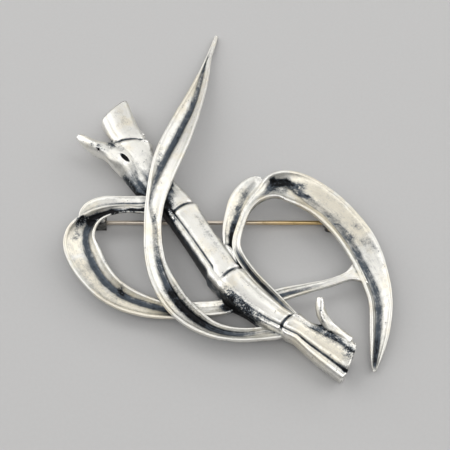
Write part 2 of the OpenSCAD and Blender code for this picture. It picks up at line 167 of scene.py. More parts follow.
RIGHT_LOBE = [
    Leaf(0.2, -18.2, 5.9, 1.2, 2.0, 0.5, 0.3, 1.0),
    Leaf(0.9, -16.7, 6.0, 1.4, 2.0, 0.65, 0.3, 1.1),
    Leaf(1.0, -14.0, 6.1, 1.6, 2.0, 0.7, 0.3, 0.95),
    Leaf(1.9, -9.8, 6.1, 2.0, 2.0, 0.6, 0.25, 0.65),
    Leaf(3.2, -5.9, 6.2, 2.2, 2.0, 0.45, 0.2, 0.5),
    Leaf(5.3, -3.0, 6.2, 2.1, 2.0, 0.4, 0.1, 0.45),
    Leaf(6.8, -1.7, 6.1, 1.7, 1.8, 0, 0, 0.2),
    Leaf(7.5, -1.2, 6.0, 1.1, 1.6, 0, 0, 0.1),
    Leaf(7.9, -0.9, 5.8, 0.5, 1.3, 0, 0, 0.1),
]

RIGHT_STRUT = [
    Leaf(9.0, -28.1, 4.2, 1.5, 1.8, 0.5, 0, 0.8),
    Leaf(11.3, -27.1, 4.3, 1.4, 1.8, 0.5, 0.1, 0.9),
    Leaf(15.3, -26.0, 4.3, 1.05, 1.7, 0.35, 0.1, 0.7),
    Leaf(20.3, -24.7, 4.2, 0.8, 1.6, 0.1, 0, 0.2),
    Leaf(23.2, -23.7, 4.2, 0.8, 1.6, 0, 0, 0.1),
    Leaf(25.0, -22.9, 4.2, 1.0, 1.6, 0, 0, 0.1),
    Leaf(26.4, -22.3, 4.1, 1.9, 1.6, 0, 0, 0.1),
    Leaf(27.8, -21.8, 3.8, 3.0, 1.4, 0, 0, 0.1),
]

# The leaves: each one's table, half the width of its groove's floor, and how far its right
# face swells out to a band.
Leafing = namedtuple("Leafing", "name table floor swell", defaults=(0,))
LEAVES = [
    Leafing("tall_leaf", TALL_LEAF, 0.5, 0.24),
    Leafing("left_leaf", LEFT_LEAF, 0.55),
    Leafing("left_lobe", LEFT_LOBE, 0.35),
    Leafing("right_leaf", RIGHT_LEAF, 0.65),
    Leafing("right_lobe", RIGHT_LOBE, 0.5),
    Leafing("right_strut", RIGHT_STRUT, 0.3),
]

# A rim and a groove's floor take at most these shares of half the leaf's width.
RIM_SHARE = 0.36
FLOOR_SHARE = 0.25

# Columns of the stalk's table: the middle of the section at its top, half the width, the
# height of the side walls, the depths of the flute on the picture's left and right, the
# share of the half width that the walls keep at their foot, the share of the height that is
# hollowed out from below, how dark the left flute is, how dark the side walls are painted,
# partly patina and partly painted shade, the share of the width that a node's crack spans
# from the right, and how far a crack or a cut end leans down on the right.
Stalk = namedtuple("Stalk", "x y z half height flute_l flute_r foot hollow dark flank node skew",
                   defaults=(0, 0))

STALK = [
    Stalk(-25.3, 18.7, 5.2, 3.8, 4.1, 0.05, 0, 0.8, 0.1, 0, 0, 0, -1.9),
    Stalk(-24.3, 16.2, 5.5, 3.7, 4.2, 0.05, 0, 0.8, 0.1, 0, 0, 0, -0.9),
    Stalk(-22.8, 12.7, 5.7, 3.6, 4.3, 0.05, 0, 0.8, 0.1, 0.1, 0.2),
    Stalk(-20.5, 8.8, 6.1, 3.65, 4.6, 0.05, 0, 0.9, 0.2, 0.1, 0.3, 1.0, 2.0),
    Stalk(-18.6, 5.3, 6.1, 3.2, 4.8, 0.1, 0, 0.9, 0.6, 0.2, 0.6),
    Stalk(-16.3, 1.5, 6.1, 3.3, 5.0, 0.2, 0, 1, 1, 0.5, 0.7),
    Stalk(-12.9, -3.6, 6.4, 3.2, 4.5, 0.3, 0, 1, 1, 0.5, 0.8),
    Stalk(-9.0, -9.0, 6.8, 3.3, 4.1, 0.4, 0, 1, 1, 0.6, 1.0, 0.7),
    Stalk(-5.1, -15.0, 6.9, 3.2, 4.7, 0.3, 0, 1, 1, 0.35, 1.0),
    Stalk(-1.1, -21.3, 7.0, 3.2, 5.5, 0.45, 0.1, 1, 1, 0.95, 1.1),
    Stalk(0.8, -24.4, 7.1, 3.3, 5.5, 0.1, 0.15, 1, 0.5, 0.1, 0.6, 0.6),
    Stalk(5.6, -29.6, 6.9, 3.2, 5.4, 0.15, 0.2, 0.9, 0.2, 0.5, 0.45),
    Stalk(9.3, -32.3, 6.6, 2.9, 5.2, 0.15, 0.2, 0.8, 0.2, 0.4, 0.1),
    Stalk(12.2, -33.9, 6.3, 2.6, 5.2, 0.3, 0.2, 0.7, 0.1, 0.6, 0.1, 0.9, 0.6),
    Stalk(15.4, -35.8, 5.95, 2.75, 5.3, 0.4, 0.3, 0.6, 0.4, 0.8, 0.1),
    Stalk(17.2, -36.9, 5.7, 3.3, 5.3, 0.5, 0.4, 0.6, 0.8, 0.9, 0.1),
    Stalk(19.6, -38.3, 5.4, 3.85, 5.2, 0.4, 0.5, 0.6, 1, 0.6, 0.1),
    Stalk(21.8, -39.8, 5.2, 4.1, 5.1, 0.4, 0.5, 0.6, 1, 0.5, 0.2, 0, -0.6),
    Stalk(23.9, -41.3, 5.0, 4.2, 5.0, 0.7, 0.6, 0.6, 1, 0.9, 0.4, 0, -0.9),
]

# Steps along the stalk at a node: the distance along it, what is added to the half width
# and to the top, and how dark the crack is painted, as the shadow line under its lip.
Step = namedtuple("Step", "along wider higher dark")
NODE_STEPS = [
    Step(-2.4, 0, 0, 0),
    Step(-0.9, -0.02, 0.02, 0),
    Step(-0.42, -0.05, 0, 0.1),
    Step(-0.24, -0.18, -0.34, 0.9),
    Step(0.14, -0.18, -0.4, 0.9),
    Step(0.34, 0.2, 0.12, 0.2),
    Step(0.8, 0.34, 0.2, 0),
    Step(1.5, 0.18, 0.1, 0),
    Step(2.8, 0, 0, 0),
]
NO_STEP = Step(0, 0, 0, 0)

# A node bows the stalk's middle ahead by so much, and that fades out so far along the stalk.
# Its crack fades out over the last stretch above its foot, and towards its uncracked part.
NODE_BOW = 0.8
NODE_REACH = 3.4
CRACK_FOOT = 2.4
CRACK_FADE = 1.2
WHOLE_FADE = 0.15

# The stalk's sawn ends: how far each step lies in from the end and draws the skin in, and
# how far the corners are worn back.
SawnStep = namedtuple("SawnStep", "inward drawn")
SAWN_STEPS = [SawnStep(0, 0.17), SawnStep(0.06, 0.03), SawnStep(0.4, 0)]
CORNER_WEAR = 0.6

# Columns of a twig's table: the middle of each section, its radius and how dark it is.
Twig = namedtuple("Twig", "x y z radius dark")
SIDE_TWIG = [
    Twig(-32.5, 11.3, 4.5, 0.8, 0),
    Twig(-30.8, 9.7, 4.6, 1.3, 0.1),
    Twig(-28.4, 8.2, 4.5, 1.75, 0.1),
    Twig(-25.8, 7.1, 4.4, 2.1, 0.1),
    Twig(-23.4, 5.5, 4.1, 2.5, 0.15),
    Twig(-21.0, 3.3, 3.7, 2.6, 0.3),
    Twig(-18.6, -0.5, 3.5, 2.3, 0.8),
    Twig(-16.6, -4.6, 3.4, 1.7, 0.9),
]
# Solder that fills the corner between the side twig and the stalk.
TWIG_SOLDER = [
    Twig(-26.2, 8.0, 4.5, 1.3, 0),
    Twig(-23.6, 7.4, 4.4, 1.8, 0),
    Twig(-21.4, 5.2, 4.2, 2.1, 0),
    Twig(-19.4, 2.0, 4.0, 2.0, 0.1),
    Twig(-17.9, -1.0, 3.8, 1.5, 0.4),
]
# Solder where the right lobe, its strand and the stalk meet.
LOBE_SOLDER = [
    Twig(-0.1, -16.8, 5.3, 0.5, 0.3),
    Twig(0.8, -18.1, 5.5, 0.9, 0),
    Twig(1.8, -19.7, 5.4, 0.85, 0),
    Twig(2.8, -21.3, 5.0, 0.4, 0.3),
]
THORN_TWIG = [
    Twig(18.4, -29.4, 7.3, 0.6, 0),
    Twig(18.4, -30.4, 7.1, 0.9, 0),
    Twig(18.5, -32.0, 6.5, 1.05, 0.2),
    Twig(19.2, -33.4, 5.8, 1.1, 0.3),
    Twig(20.3, -34.6, 5.1, 1.2, 0.3),
    Twig(22.2, -35.8, 4.5, 1.1, 0.1),
    Twig(24.2, -37.1, 4.1, 1.05, 0),
]
# Two buds at the right end of the first node.
UPPER_BUD = [
    Twig(-20.0, 10.8, 5.1, 0.5, 0),
    Twig(-18.6, 11.0, 5.1, 0.75, 0),
    Twig(-17.9, 11.1, 5.0, 0.45, 0),
]
LOWER_BUD = [
    Twig(-18.9, 8.4, 5.5, 0.6, 0.2),
    Twig(-17.6, 8.8, 5.5, 0.85, 0),
    Twig(-16.8, 8.9, 5.4, 0.5, 0),
]
TWIGS = {
    "side_twig": SIDE_TWIG,
    "twig_solder": TWIG_SOLDER,
    "lobe_solder": LOBE_SOLDER,
    "thorn_twig": THORN_TWIG,
    "upper_bud": UPPER_BUD,
    "lower_bud": LOWER_BUD,
}
STRANDS = [leaf.name for leaf in LEAVES] + list(TWIGS)

# Sections from one row of a leaf's or twig's table to the next, on a smooth curve.
TABLE_STEPS = 2

# A vertex further than this from all those of the strands was made where two of them join,
# and the join is smoothed so many rings of vertices wide.
SEAM_GAP = 0.002
SEAM_RINGS = 2

# Columns of a fitting's seat under a leaf: where it is along X, its size along X and Y, and
# how high it reaches into the leaf. The fittings stand on the pin's line.
Seat = namedtuple("Seat", "x length width top")
PIN_Y = -9.1
PIN_Z = 1.3
HINGE_X = 22.4
HINGE = (HINGE_X, PIN_Y, PIN_Z)
CATCH_X = -26.6
SEAT_FOOT = 3.05
SEAT_EDGE = 0.12
HINGE_SEAT = Seat(HINGE_X, 3.6, 3.6, 4.2)
CATCH_SEAT = Seat(CATCH_X, 3.0, 2.6, 4.8)
PLATE_FOOT = 2.4
PLATE = 0.6

# The hinge: the gap between its ears, how far they reach into the plate, and the rivet with
# the play in its bore. Each of its hammered heads stands off the ear by a gap, its outer face
# is drawn in to a crown, and the crown's middle is inset and raised. The rivet bites into it.
EAR_GAP = 2.0
EAR_BITE = 0.2
RIVET_D = 0.9
RIVET_PLAY = 0.02
HEAD_R = 0.65
HEAD_HEIGHT = 0.25
HEAD_GAP = 0.05
HEAD_BITE = 0.05
HEAD_CROWN = 0.72
HEAD_INSET = 0.16
HEAD_RISE = 0.03

# The pin, from the rivet to its point, its bored knuckle, and the steps in which the point is
# ground: how far each lies from the end, and the share of the wire's radius that it leaves.
PIN_D = 0.9
PIN_REACH = 50.5
KNUCKLE_R = 0.9
KNUCKLE_W = 1.8
KNUCKLE_EDGE = 0.12
BORE_R = 0.5
Grind = namedtuple("Grind", "back share")
POINT = [Grind(3.2, 1.0), Grind(2.4, 0.86), Grind(1.5, 0.62), Grind(0.6, 0.34), Grind(0, 0.13)]

# The catch: its block, the play of the wire in its slot, the walls beside the slot, and how
# far below the brooch's back the tool starts that opens the slot.
CATCH_LENGTH = 2.6
CATCH_BITE = 0.1
SLOT_PLAY = 0.15
SLOT_WALL = 0.6
SLOT_DROP = 1

# The length of tools that cut right through a piece, and an edge that is as good as sharp.
THROUGH = 6
SHARP = 0.01

# Columns of the dents: the middle of one end, the radius and the run to the other end.
Dent = namedtuple("Dent", "x y z radius run_x run_y")
DENTS = [
    Dent(-22.4, 5.1, 6.2, 0.5, 1.5, -1.5),
    Dent(-27.6, 6.9, 5.8, 0.4, 0.3, -0.2),
    Dent(-29.2, 8.2, 5.8, 0.25, 0.3, -0.2),
]

# Places painted darker or yellower than the groove and crevice rules make them: real stains,
# pits,
# solder and yellow film, and painted shade in gaps, hollows and on walls that lie in shadow.
# Columns:
# one end of the place and the run to its other end, its radius, how dark it is, where 1 is the
# groove's blue-grey, how yellow, 0 to 1, and the height that it reaches up to.
ABOVE_ALL = 9
StainAndShade = namedtuple("StainAndShade", "x y run_x run_y radius dark warm top", defaults=(0, ABOVE_ALL))
STAINS_AND_SHADE = [
    # Right leaf
    StainAndShade(10.2, -1.4, 3.0, 0.2, 0.6, 2.2),
    StainAndShade(13.5, -1.6, 3.1, -0.9, 0.7, 0.7),
    StainAndShade(9.8, -3.0, 2.5, -0.5, 0.9, 0.5),
    StainAndShade(12.8, -2.7, 5.6, -2.3, 0.35, 0.6),
    StainAndShade(27.0, -11.7, 0.8, -0.7, 0.4, 0.6),
    StainAndShade(28.6, -15.0, 1.8, -1.3, 0.5, 0.5),
    StainAndShade(25.7, -13.2, 0.7, -0.9, 0.4, 0.5),
    StainAndShade(17.0, -3.2, 8.9, -9.3, 3.0, 0, 1.5),
    StainAndShade(1.2, -13.6, 3.0, 9.4, 1.1, 0.2, 1),
    # Left leaf
    StainAndShade(-31.0, -14.6, 0.8, 3.2, 0.35, 0.8),
    # Painted shade on the loop's inner wall and on the strand's lower side and inner rim, which
    # lie in shadow
    StainAndShade(-30.0, -11.2, 3.6, 1.5, 0.5, 2.0),
    StainAndShade(-26.5, -8.9, 9.6, 0.4, 0.5, 1.4, 0, 5.4),
    StainAndShade(-26.0, -10.0, 2.2, 1.0, 0.3, 2.0),
    StainAndShade(-23.8, -9.0, 6.9, 0.6, 0.3, 2.0),
    StainAndShade(-29.6, -19.5, 6.6, -8.9, 1.0, 0.12, 1),
    StainAndShade(-21.0, -25.7, 0.3, 0, 0.6, 0.9),
    StainAndShade(-24.7, -19.6, 0.2, -0.3, 0.5, 0.5),
    StainAndShade(-22.9, -28.0, 11.1, -2.6, 2.2, 0, 1),
    StainAndShade(-31.0, -12.0, 0.5, -5.0, 2.0, 0, 0.5),
    # Tall leaf
    StainAndShade(-14.7, -10.1, 0.8, -6.2, 0.6, 0.4),
    StainAndShade(-14.1, -16.3, 1.6, -5.4, 0.7, 0.35),
    StainAndShade(-13.6, 5.6, -0.8, -4.7, 0.3, 0.5),
    StainAndShade(-10.6, -27.2, 5.4, -5.4, 1.4, 0.45),
    StainAndShade(-10.6, 15.6, 3.0, 12.6, 1.0, 0, 1),
    # Side twig and stub
    StainAndShade(-27.6, 6.9, 0.3, -0.2, 0.5, 1.3),
    StainAndShade(-29.2, 8.2, 0.3, -0.2, 0.4, 0.9),
    StainAndShade(-26.4, 6.4, 0.5, -0.3, 0.4, 0.7),
    StainAndShade(-25.4, 8.8, 0.8, -1.1, 0.6, 0.9),
    StainAndShade(-22.9, 7.3, 0.4, -0.5, 0.5, 0.7),
    # Painted shade, over patina, in the slot beside the stub
    StainAndShade(-22.3, 5.0, 1.2, -1.2, 0.3, 1.8, 0, 6.3),
    StainAndShade(-17.4, 2.1, 0, 0, 0.4, 1.1),
    # Painted shade under the side twig's root, beside the stalk and the tall leaf
    StainAndShade(-20.4, -0.6, 3.9, -6.4, 1.5, 0.8, 0, 5),
    StainAndShade(-23.9, 16.8, 2.1, -4.4, 0.9, 0.3),
    # Stalk
    StainAndShade(-3.9, -14.3, 0.5, -2.1, 0.4, 0.8),
    StainAndShade(0.8, -29.0, 2.6, -2.6, 1.1, 1.9),
    StainAndShade(3.2, -31.4, 1.6, -1.2, 0.8, 1.0),
    StainAndShade(-12.2, -7.4, 0.8, -4.4, 1.1, 1.1, 0, 6.9),
    # Painted shade in the gap between the stalk and the right leaf's strand
    StainAndShade(3.4, -24.8, 8.8, -8.3, 0.8, 1.4, 0, 5.4),
    # Cut end
    StainAndShade(15.0, -34.2, 8.3, -4.6, 0.5, 0.5),
    StainAndShade(18.6, -35.3, 3.6, -2.0, 0.35, 1.4),
    StainAndShade(18.2, -31.6, 0.6, -2.2, 0.3, 0.8),
    # Painted shade in the cut end's open hollow
    StainAndShade(23.8, -39.4, 0.2, -0.4, 1.0, 1.2),
    StainAndShade(22.3, -43.1, 0, 0, 0.7, 1.1),
    StainAndShade(14.3, -36.6, 6.9, -4.0, 2.0, 0, 0.9),
]

# How far the outline of a listed place wanders, stain and painted shade alike, and how long its
# wanderings are, the radii at which it has faded out, and the height that none of them reaches
# below.
STAIN_WANDER = 0.55
STAIN_CELL = 1.3
STAIN_FADE = 1.6
STAIN_FOOT = 2

# Faces whose normals point further down than this take no stain or painted shade from the table,
# and over the softening above it a place grows to its full strength.
FACES_DOWN = -0.6
FACES_SOFTENING = 0.5

# Limits of the edges' sharpness as the finish reads it, in the units of convexity.
SHARPNESS = (-0.25, 0.6)

FULL_RAYS = 14
RAY_START = 0.02
GOLDEN_ANGLE = 2.399963

# Columns of the softboxes: name, place and size in metres, and how bright each face is.
Softbox = namedtuple("Softbox", "name x y z width depth glow")
SOFTBOXES = [
    Softbox("left_softbox", -0.5, 0.22, 0.42, 0.8, 0.8, 0.72),
    Softbox("right_softbox", 0.52, 0.16, 0.4, 0.7, 0.7, 0.7),
    Softbox("top_softbox", 0.0, -0.3, 0.62, 0.7, 0.4, 0.9),
    Softbox("back_strip", 0.1, 0.6, 0.3, 0.9, 0.14, 0.8),
    Softbox("ceiling_softbox", 0.06, 0.36, 0.62, 0.4, 0.3, 0.52),
]
LIGHT_AIM = (0, -5, 0)
CAMERA_AIM = (0, -11.2, 4)


class BroochSizes(bpy.types.PropertyGroup):
    """Sizes of the cast spray that shape it beyond its tables."""

    rim: bpy.props.FloatProperty(
        name="Rim", description="Width of a leaf's rounded rim where the leaf is broad",
        default=0.62 * MM, unit="LENGTH",
    )
    wall: bpy.props.FloatProperty(
        name="Wall", description="Thickness of the hollow stalk's wall",
        default=1.1 * MM, unit="LENGTH",
    )
    fillet_steps: bpy.props.IntProperty(
        name="Fillets", description="Rounds of smoothing where two strands are cast together",
        default=6, min=0, max=20,
    )
    # The occlusion within this reach is painted into the silver's colour: partly crevice patina,
    # partly painted shade
    shade_reach: bpy.props.FloatProperty(
        name="Crevice reach", description="How far metal shelters a crevice from polishing",
        default=3.2 * MM, unit="LENGTH",
    )
    wave: bpy.props.FloatProperty(
        name="Waves", description="Length of the hand-finished surface's slow waves",
        default=3.4 * MM, unit="LENGTH",
    )
    wave_height: bpy.props.FloatProperty(
        name="Wave height", description="Height of the slow waves, crest to trough",
        default=0.14 * MM, unit="LENGTH",
    )
    edge_round: bpy.props.FloatProperty(
        name="Edge", description="Radius of the worn edges of the pin's fittings",
        default=0.09 * MM, unit="LENGTH",
    )


class BroochFinish(bpy.types.PropertyGroup):
    """Colours and polish of the metals."""

    polished: bpy.props.FloatVectorProperty(
        name="Polished silver", description="Colour of the polished rims",
        subtype="COLOR", default=(0.98, 0.965, 0.92), min=0, max=1,
    )
    satin: bpy.props.FloatVectorProperty(
        name="Satin silver", description="Colour of the worn satin faces",
        subtype="COLOR", default=(0.9, 0.885, 0.825), min=0, max=1,
    )
    film: bpy.props.FloatVectorProperty(
        name="Grey film", description="First thin tarnish beside the grooves",
        subtype="COLOR", default=(0.31, 0.315, 0.315), min=0, max=1,
    )
    warm: bpy.props.FloatVectorProperty(
        name="Warm cast", description="Yellowish film on parts of the silver",
        subtype="COLOR", default=(0.95, 0.87, 0.69), min=0, max=1,
    )
    # The blue-grey also paints the shade in gaps and on shaded walls, besides the real oxide of
    # the grooves
    oxide: bpy.props.FloatVectorProperty(
        name="Oxide", description="Blue-grey of the darkened grooves",
        subtype="COLOR", default=(0.09, 0.107, 0.128), min=0, max=1,
    )
    # This near black is patina in the deepest recesses, and painted shade on shaded walls, in
    # gaps and over the hinge and catch
    deep_oxide_and_shade: bpy.props.FloatVectorProperty(
        name="Deep oxide", description="Near black of the deepest recesses",
        subtype="COLOR", default=(0.01, 0.0105, 0.012), min=0, max=1,
    )
    brass: bpy.props.FloatVectorProperty(
        name="Brass", description="Golden colour of the pin's wire near its hinge",
        subtype="COLOR", default=(0.72, 0.52, 0.25), min=0, max=1,
    )
    rubbed_brass: bpy.props.FloatVectorProperty(
        name="Rubbed brass", description="Pale colour of the wire near its point",
        subtype="COLOR", default=(0.72, 0.64, 0.54), min=0, max=1,
    )
    brown_brass: bpy.props.FloatVectorProperty(
        name="Brown brass", description="Brown film on the wire",
        subtype="COLOR", default=(0.3, 0.2, 0.11), min=0, max=1,
    )
    rim_roughness: bpy.props.FloatProperty(
        name="Rim roughness", description="Roughness of the polished rims",
        default=0.26, min=0, max=1,
    )
    satin_roughness: bpy.props.FloatProperty(
        name="Satin roughness", description="Roughness of the satin faces",
        default=0.4, min=0, max=1,
    )


class BroochStage(bpy.types.PropertyGroup):
    """The floor, the lights and the camera."""

    floor: bpy.props.FloatVectorProperty(
        name="Floor", description="Colour of the floor",
        subtype="COLOR", default=(0.56, 0.555, 0.55), min=0, max=1,
    )
    sky: bpy.props.FloatProperty(
        name="Sky", description="Strength of the even light from all round", default=0.22, min=0,
    )
    light: bpy.props.FloatProperty(
        name="Lights", description="Strength of all softboxes together", default=1.8, min=0,
    )
    camera_elevation: bpy.props.FloatProperty(
        name="Elevation", description="The camera's angle above the floor",
        default=math.radians(60), subtype="ANGLE",
    )
    camera_distance: bpy.props.FloatProperty(
        name="Distance", description="From the camera to the point that it looks at",
        default=165 * MM, unit="LENGTH",
    )
    camera_lens: bpy.props.FloatProperty(
        name="Lens", description="Focal length on a 36 mm sensor", default=63.2,
    )


# Mesh helpers


def deselect_all():
    if bpy.context.object and bpy.context.object.mode != "OBJECT":
        bpy.ops.object.mode_set(mode="OBJECT")
    bpy.ops.object.select_all(action="DESELECT")


def make_active(piece):
    deselect_all()
    piece.select_set(True)
    bpy.context.view_layer.objects.active = piece


def open_for_edit(piece, kind="VERT"):
    """Opens a piece in edit mode with nothing selected."""
    make_active(piece)
    bpy.ops.object.mode_set(mode="EDIT")
    bpy.ops.mesh.select_mode(type=kind)
    bpy.ops.mesh.select_all(action="DESELECT")


def close_edit():
    bpy.ops.object.mode_set(mode="OBJECT")


def outward_normals():
    bpy.ops.mesh.select_all(action="SELECT")
    bpy.ops.mesh.normals_make_consistent(inside=False)


def apply_modifier(piece, kind, **settings):
    make_active(piece)
    modifier = piece.modifiers.new(kind.title(), kind)
    for name, value in settings.items():
        setattr(modifier, name, value)
    bpy.ops.object.modifier_apply(modifier=modifier.name)


def smooth_rows(rows):
    """Catmull-Rom rows between the rows of a table."""
    table = np.array([tuple(row) for row in rows], float)
    padded = np.vstack([table[:1], table, table[-1:]])
    out = []
    for i in range(len(table) - 1):
        a, b, c, d = padded[i : i + 4]
        for k in range(TABLE_STEPS):
            t = k / TABLE_STEPS
            out.append(
                0.5 * (2 * b + (c - a) * t + (2 * a - 5 * b + 4 * c - d) * t**2
                       + (3 * b - a - 3 * c + d) * t**3)
            )
    out.append(table[-1])
    kind = type(rows[0])
    return [kind(*row) for row in out]


def headings(rows, level=False):
    """The way that the strand runs at each row."""
    points = [Vector((row.x, row.y, 0 if level else row.z)) for row in rows]
    last = len(points) - 1
    return [(points[min(i + 1, last)] - points[max(i - 1, 0)]).normalized()
            for i in range(len(points))]


def distances(rows):
    """How far along the strand each row lies."""
    points = [Vector((row.x, row.y, row.z)) for row in rows]
    run = [0.0]
    for a, b in zip(points, points[1:]):
        run.append(run[-1] + (b - a).length)
    return run


# A point of a section: across it, up it, how dark it is there, and along the strand
Spot = namedtuple("Spot", "across up dark along", defaults=(0,))


def lay_section(middle, ahead, spots, roll=0):
    """Points in metres of a section laid square to the strand: across it is level."""
    across = ahead.cross(UP).normalized()
    out = across.cross(ahead)
    right = across * math.cos(roll) + out * math.sin(roll)
    up = out * math.cos(roll) - across * math.sin(roll)
    return [(middle + right * s.across + up * s.up + ahead * s.along) * MM for s in spots]


def leaf_section(row, rim, floor, swell):
    """A leaf's channel: rounded keel and rims, two faces that fall to a dark flat floor.

    The right face can swell to a round band beside the groove.
    """
    w, h, g = row.half, row.height, row.groove
    floor = min(floor, FLOOR_SHARE * w)
    bead = min(rim / MM, RIM_SHARE * w) / w
    edge = 1 - bead
    brink = edge - 0.06
    lip = 0.05 + 0.15 * min(1, g)
    # From the keel round to the inner side of a rim: share across, height, how dark; the keel and
    # lower walls are darkened, partly the back's patina and partly painted shade
    half = [
        (0.5, -0.97 * h, 0.7),
        (0.84, -0.76 * h, 0.8),
        (0.98, -0.44 * h, 0.5),
        (1.02, -0.2 * h, 0.1),
        (1.0, -0.02 * h, 0),
        (1 - 0.5 * bead, 0.09, 0),
        (edge, -0.02, 0),
        (brink, -lip - 0.1 * g, 0.3 * row.dark * (1 - min(1, 4 * swell))),
    ]
    spots = [Spot(0, -h, 0.5)]
    spots += [Spot(w * a, u, d) for a, u, d in half]
    # From a rim down to the floor: share of the way, share of the depth, how dark
    face = [(0.45, 0.44, 0.04), (0.84, 0.74, 0.35), (1, 0.97, 0.9)]
    for side in (1, -1):
        start = side * brink
        shore = side * min(side * row.place + floor / w, brink - 0.08)
        for share, depth, dark in face if side == 1 else face[::-1]:
            across = start + (shore - start) * share
            if side == 1:
                depth -= swell * 4 * share * (1 - share)
            spots.append(Spot(w * across, -lip - g * depth, dark * row.dark))
        if side == 1:
            spots.append(Spot(w * row.place, -lip - g * 1.06, row.dark))
    spots += [Spot(-w * a, u, d) for a, u, d in reversed(half)]
    return spots


def stalk_section(row, wall):
    """The stalk: a low fluted dome, upright or tucked side walls and a hollow below."""
    w, h = row.half, row.height
    foot = w * row.foot
    hip = w * (row.foot + (1.03 - row.foot) * 0.85)
    cave = row.hollow * (h - wall - 0.8)
    # The side walls are darkened, partly patina and partly painted shade
    flute, flute_r, dark, flank = row.flute_l, row.flute_r, row.dark, 1.5 * row.flank

    def top(share, sunk=0.0, stain=0.0):
        """A point on the dome, sunk into a flute or not."""
        return Spot(w * share, 0.07 - 0.5 * share * share - sunk, stain)

    return [
        Spot(foot - 0.08, -h, 0.6),
        Spot(foot, -h + 0.2, max(0.5, flank)),
        Spot(hip, -h * 0.62, flank),
        Spot(w, -1.5, flank),
        Spot(w * 0.98, -0.95, flank * 0.7),
        top(0.88, 0.05, flank * 0.2),
        top(0.74),
        top(0.6, 0.1 * flute, 0.1 * dark),
        top(0.55, flute, 1.3 * dark),
        top(0.49, flute, 1.3 * dark),
        top(0.44, 0.1 * flute, 0.1 * dark),
        top(0.2),
        top(-0.12),
        top(-0.36, 0, 0.1 * flute_r),
        top(-0.44, flute_r, flute_r),
        top(-0.52, flute_r, flute_r),
        top(-0.6, 0, 0.1 * flute_r),
        top(-0.78),
        Spot(-w * 0.94, -0.62, 0.25 * flank),
        Spot(-w, -1.5, max(0.3, 0.7 * flank)),
        Spot(-hip, -h * 0.62, 0.5),
        Spot(-foot, -h + 0.2, 0.6),
        Spot(-foot + 0.08, -h, 0.6),
        Spot(wall - foot, -h, 0.6),
        Spot(wall - foot * 0.98, -h + cave * 0.6, 0.7),
        Spot(-foot * 0.4, -h + cave, 0.7),
        Spot(foot * 0.4, -h + cave, 0.7),
        Spot(foot * 0.98 - wall, -h + cave * 0.6, 0.7),
        Spot(foot - wall, -h, 0.6),
    ]


def twig_section(row, turn, sides=12):
    """A lumpy round section; turn shifts its lumps from one section to the next."""
    spots = []
    for k in range(sides):
        angle = 2 * math.pi * k / sides
        lump = 1 + 0.1 * math.sin(3 * angle + turn) + 0.07 * math.sin(5 * angle - 2 * turn)
        reach = row.radius * lump
        spots.append(Spot(reach * math.cos(angle), reach * math.sin(angle), row.dark))
    return spots


def extruded_skin(name, rings, darks, runs):
    """A closed tube: a filled circle, extruded from ring to ring and placed on each."""
    count = len(rings[0])
    deselect_all()
    bpy.ops.mesh.primitive_circle_add(vertices=count, radius=MM, location=(0, 0, 0))
    piece = bpy.context.object
    piece.name = name
    piece.data.name = name
    bpy.ops.object.mode_set(mode="EDIT")
    bpy.ops.mesh.edge_face_add()
    edit = bmesh.from_edit_mesh(piece.data)
    edit.verts.layers.float.new("dark")
    edit.verts.layers.float_vector.new("grain")
    for i, ring in enumerate(rings):
        if i:
            bpy.ops.mesh.extrude_region()
            edit = bmesh.from_edit_mesh(piece.data)
        dark = edit.verts.layers.float["dark"]
        grain = edit.verts.layers.float_vector["grain"]
        cap = next(face for face in edit.faces if face.select)
        around = 0.0
        for k, vert in enumerate(cap.verts):
            vert.co = ring[k]
            around += (ring[k] - ring[k - 1]).length if k else 0.0
            vert[dark] = darks[i][k]
            vert[grain] = (runs[i] * MM, around, 0)
    bmesh.update_edit_mesh(piece.data)
    outward_normals()
    close_edit()
    return piece


def build_strand(name, rows, sections, level=False, rolls=None, sawn=False):
    """Lays the sections along their rows, skins them and smooths the skin.

    A sawn strand ends in flat cuts, and any other in ends that are drawn tight.
    """
    ways = headings(rows, level)
    if sawn:
        ways[:2] = ways[2:3] * 2
        ways[-2:] = ways[-3:-2] * 2
    runs = distances(rows)
    rings = []
    for i, (row, way, spots) in enumerate(zip(rows, ways, sections)):
        roll = math.radians(rolls[i]) if rolls else 0
        rings.append(lay_section(Vector((row.x, row.y, row.z)), way, spots, roll))
    darks = [[spot.dark for spot in spots] for spots in sections]
    if not sawn:
        tighten_ends(rings, darks, runs)
    piece = extruded_skin(name, rings, darks, runs)
    if sawn:
        make_active(piece)
        bpy.ops.object.mode_set(mode="EDIT")
        bpy.ops.mesh.select_mode(type="FACE")
        bpy.ops.mesh.select_face_by_sides(number=4, type="GREATER")
        bpy.ops.mesh.delete(type="ONLY_FACE")
    apply_modifier(piece, "SUBSURF", levels=2, render_levels=2)
    if sawn:
        open_for_edit(piece, "EDGE")
        bpy.ops.mesh.select_non_manifold()
        bpy.ops.mesh.fill_holes(sides=0)
        outward_normals()
        bpy.ops.mesh.select_mode(type="VERT")
        close_edit()
    return piece


def tighten_ends(rings, darks, runs, share=0.12):
    """Adds a ring close to each end, so that smoothing leaves the end its size."""
    last = len(rings) - 1
    for end, near in ((last, last - 1), (0, 1)):
        beside = max(end, near)
        rings.insert(beside, [a.lerp(b, share) for a, b in zip(rings[end], rings[near])])
        darks.insert(beside, darks[end])
        runs.insert(beside, runs[end])


def build_leaf(name, table, floor, swell):
    rim = bpy.context.scene.brooch_sizes.rim
    rows = smooth_rows(table)
    sections = [leaf_section(row, rim, floor, swell) for row in rows]
    return build_strand(name, rows, sections, rolls=[row.roll for row in rows])


def build_twig(name, table):
    rows = smooth_rows(table)
    sections = [twig_section(row, 0.9 * i) for i, row in enumerate(rows)]
    return build_strand(name, rows, sections)


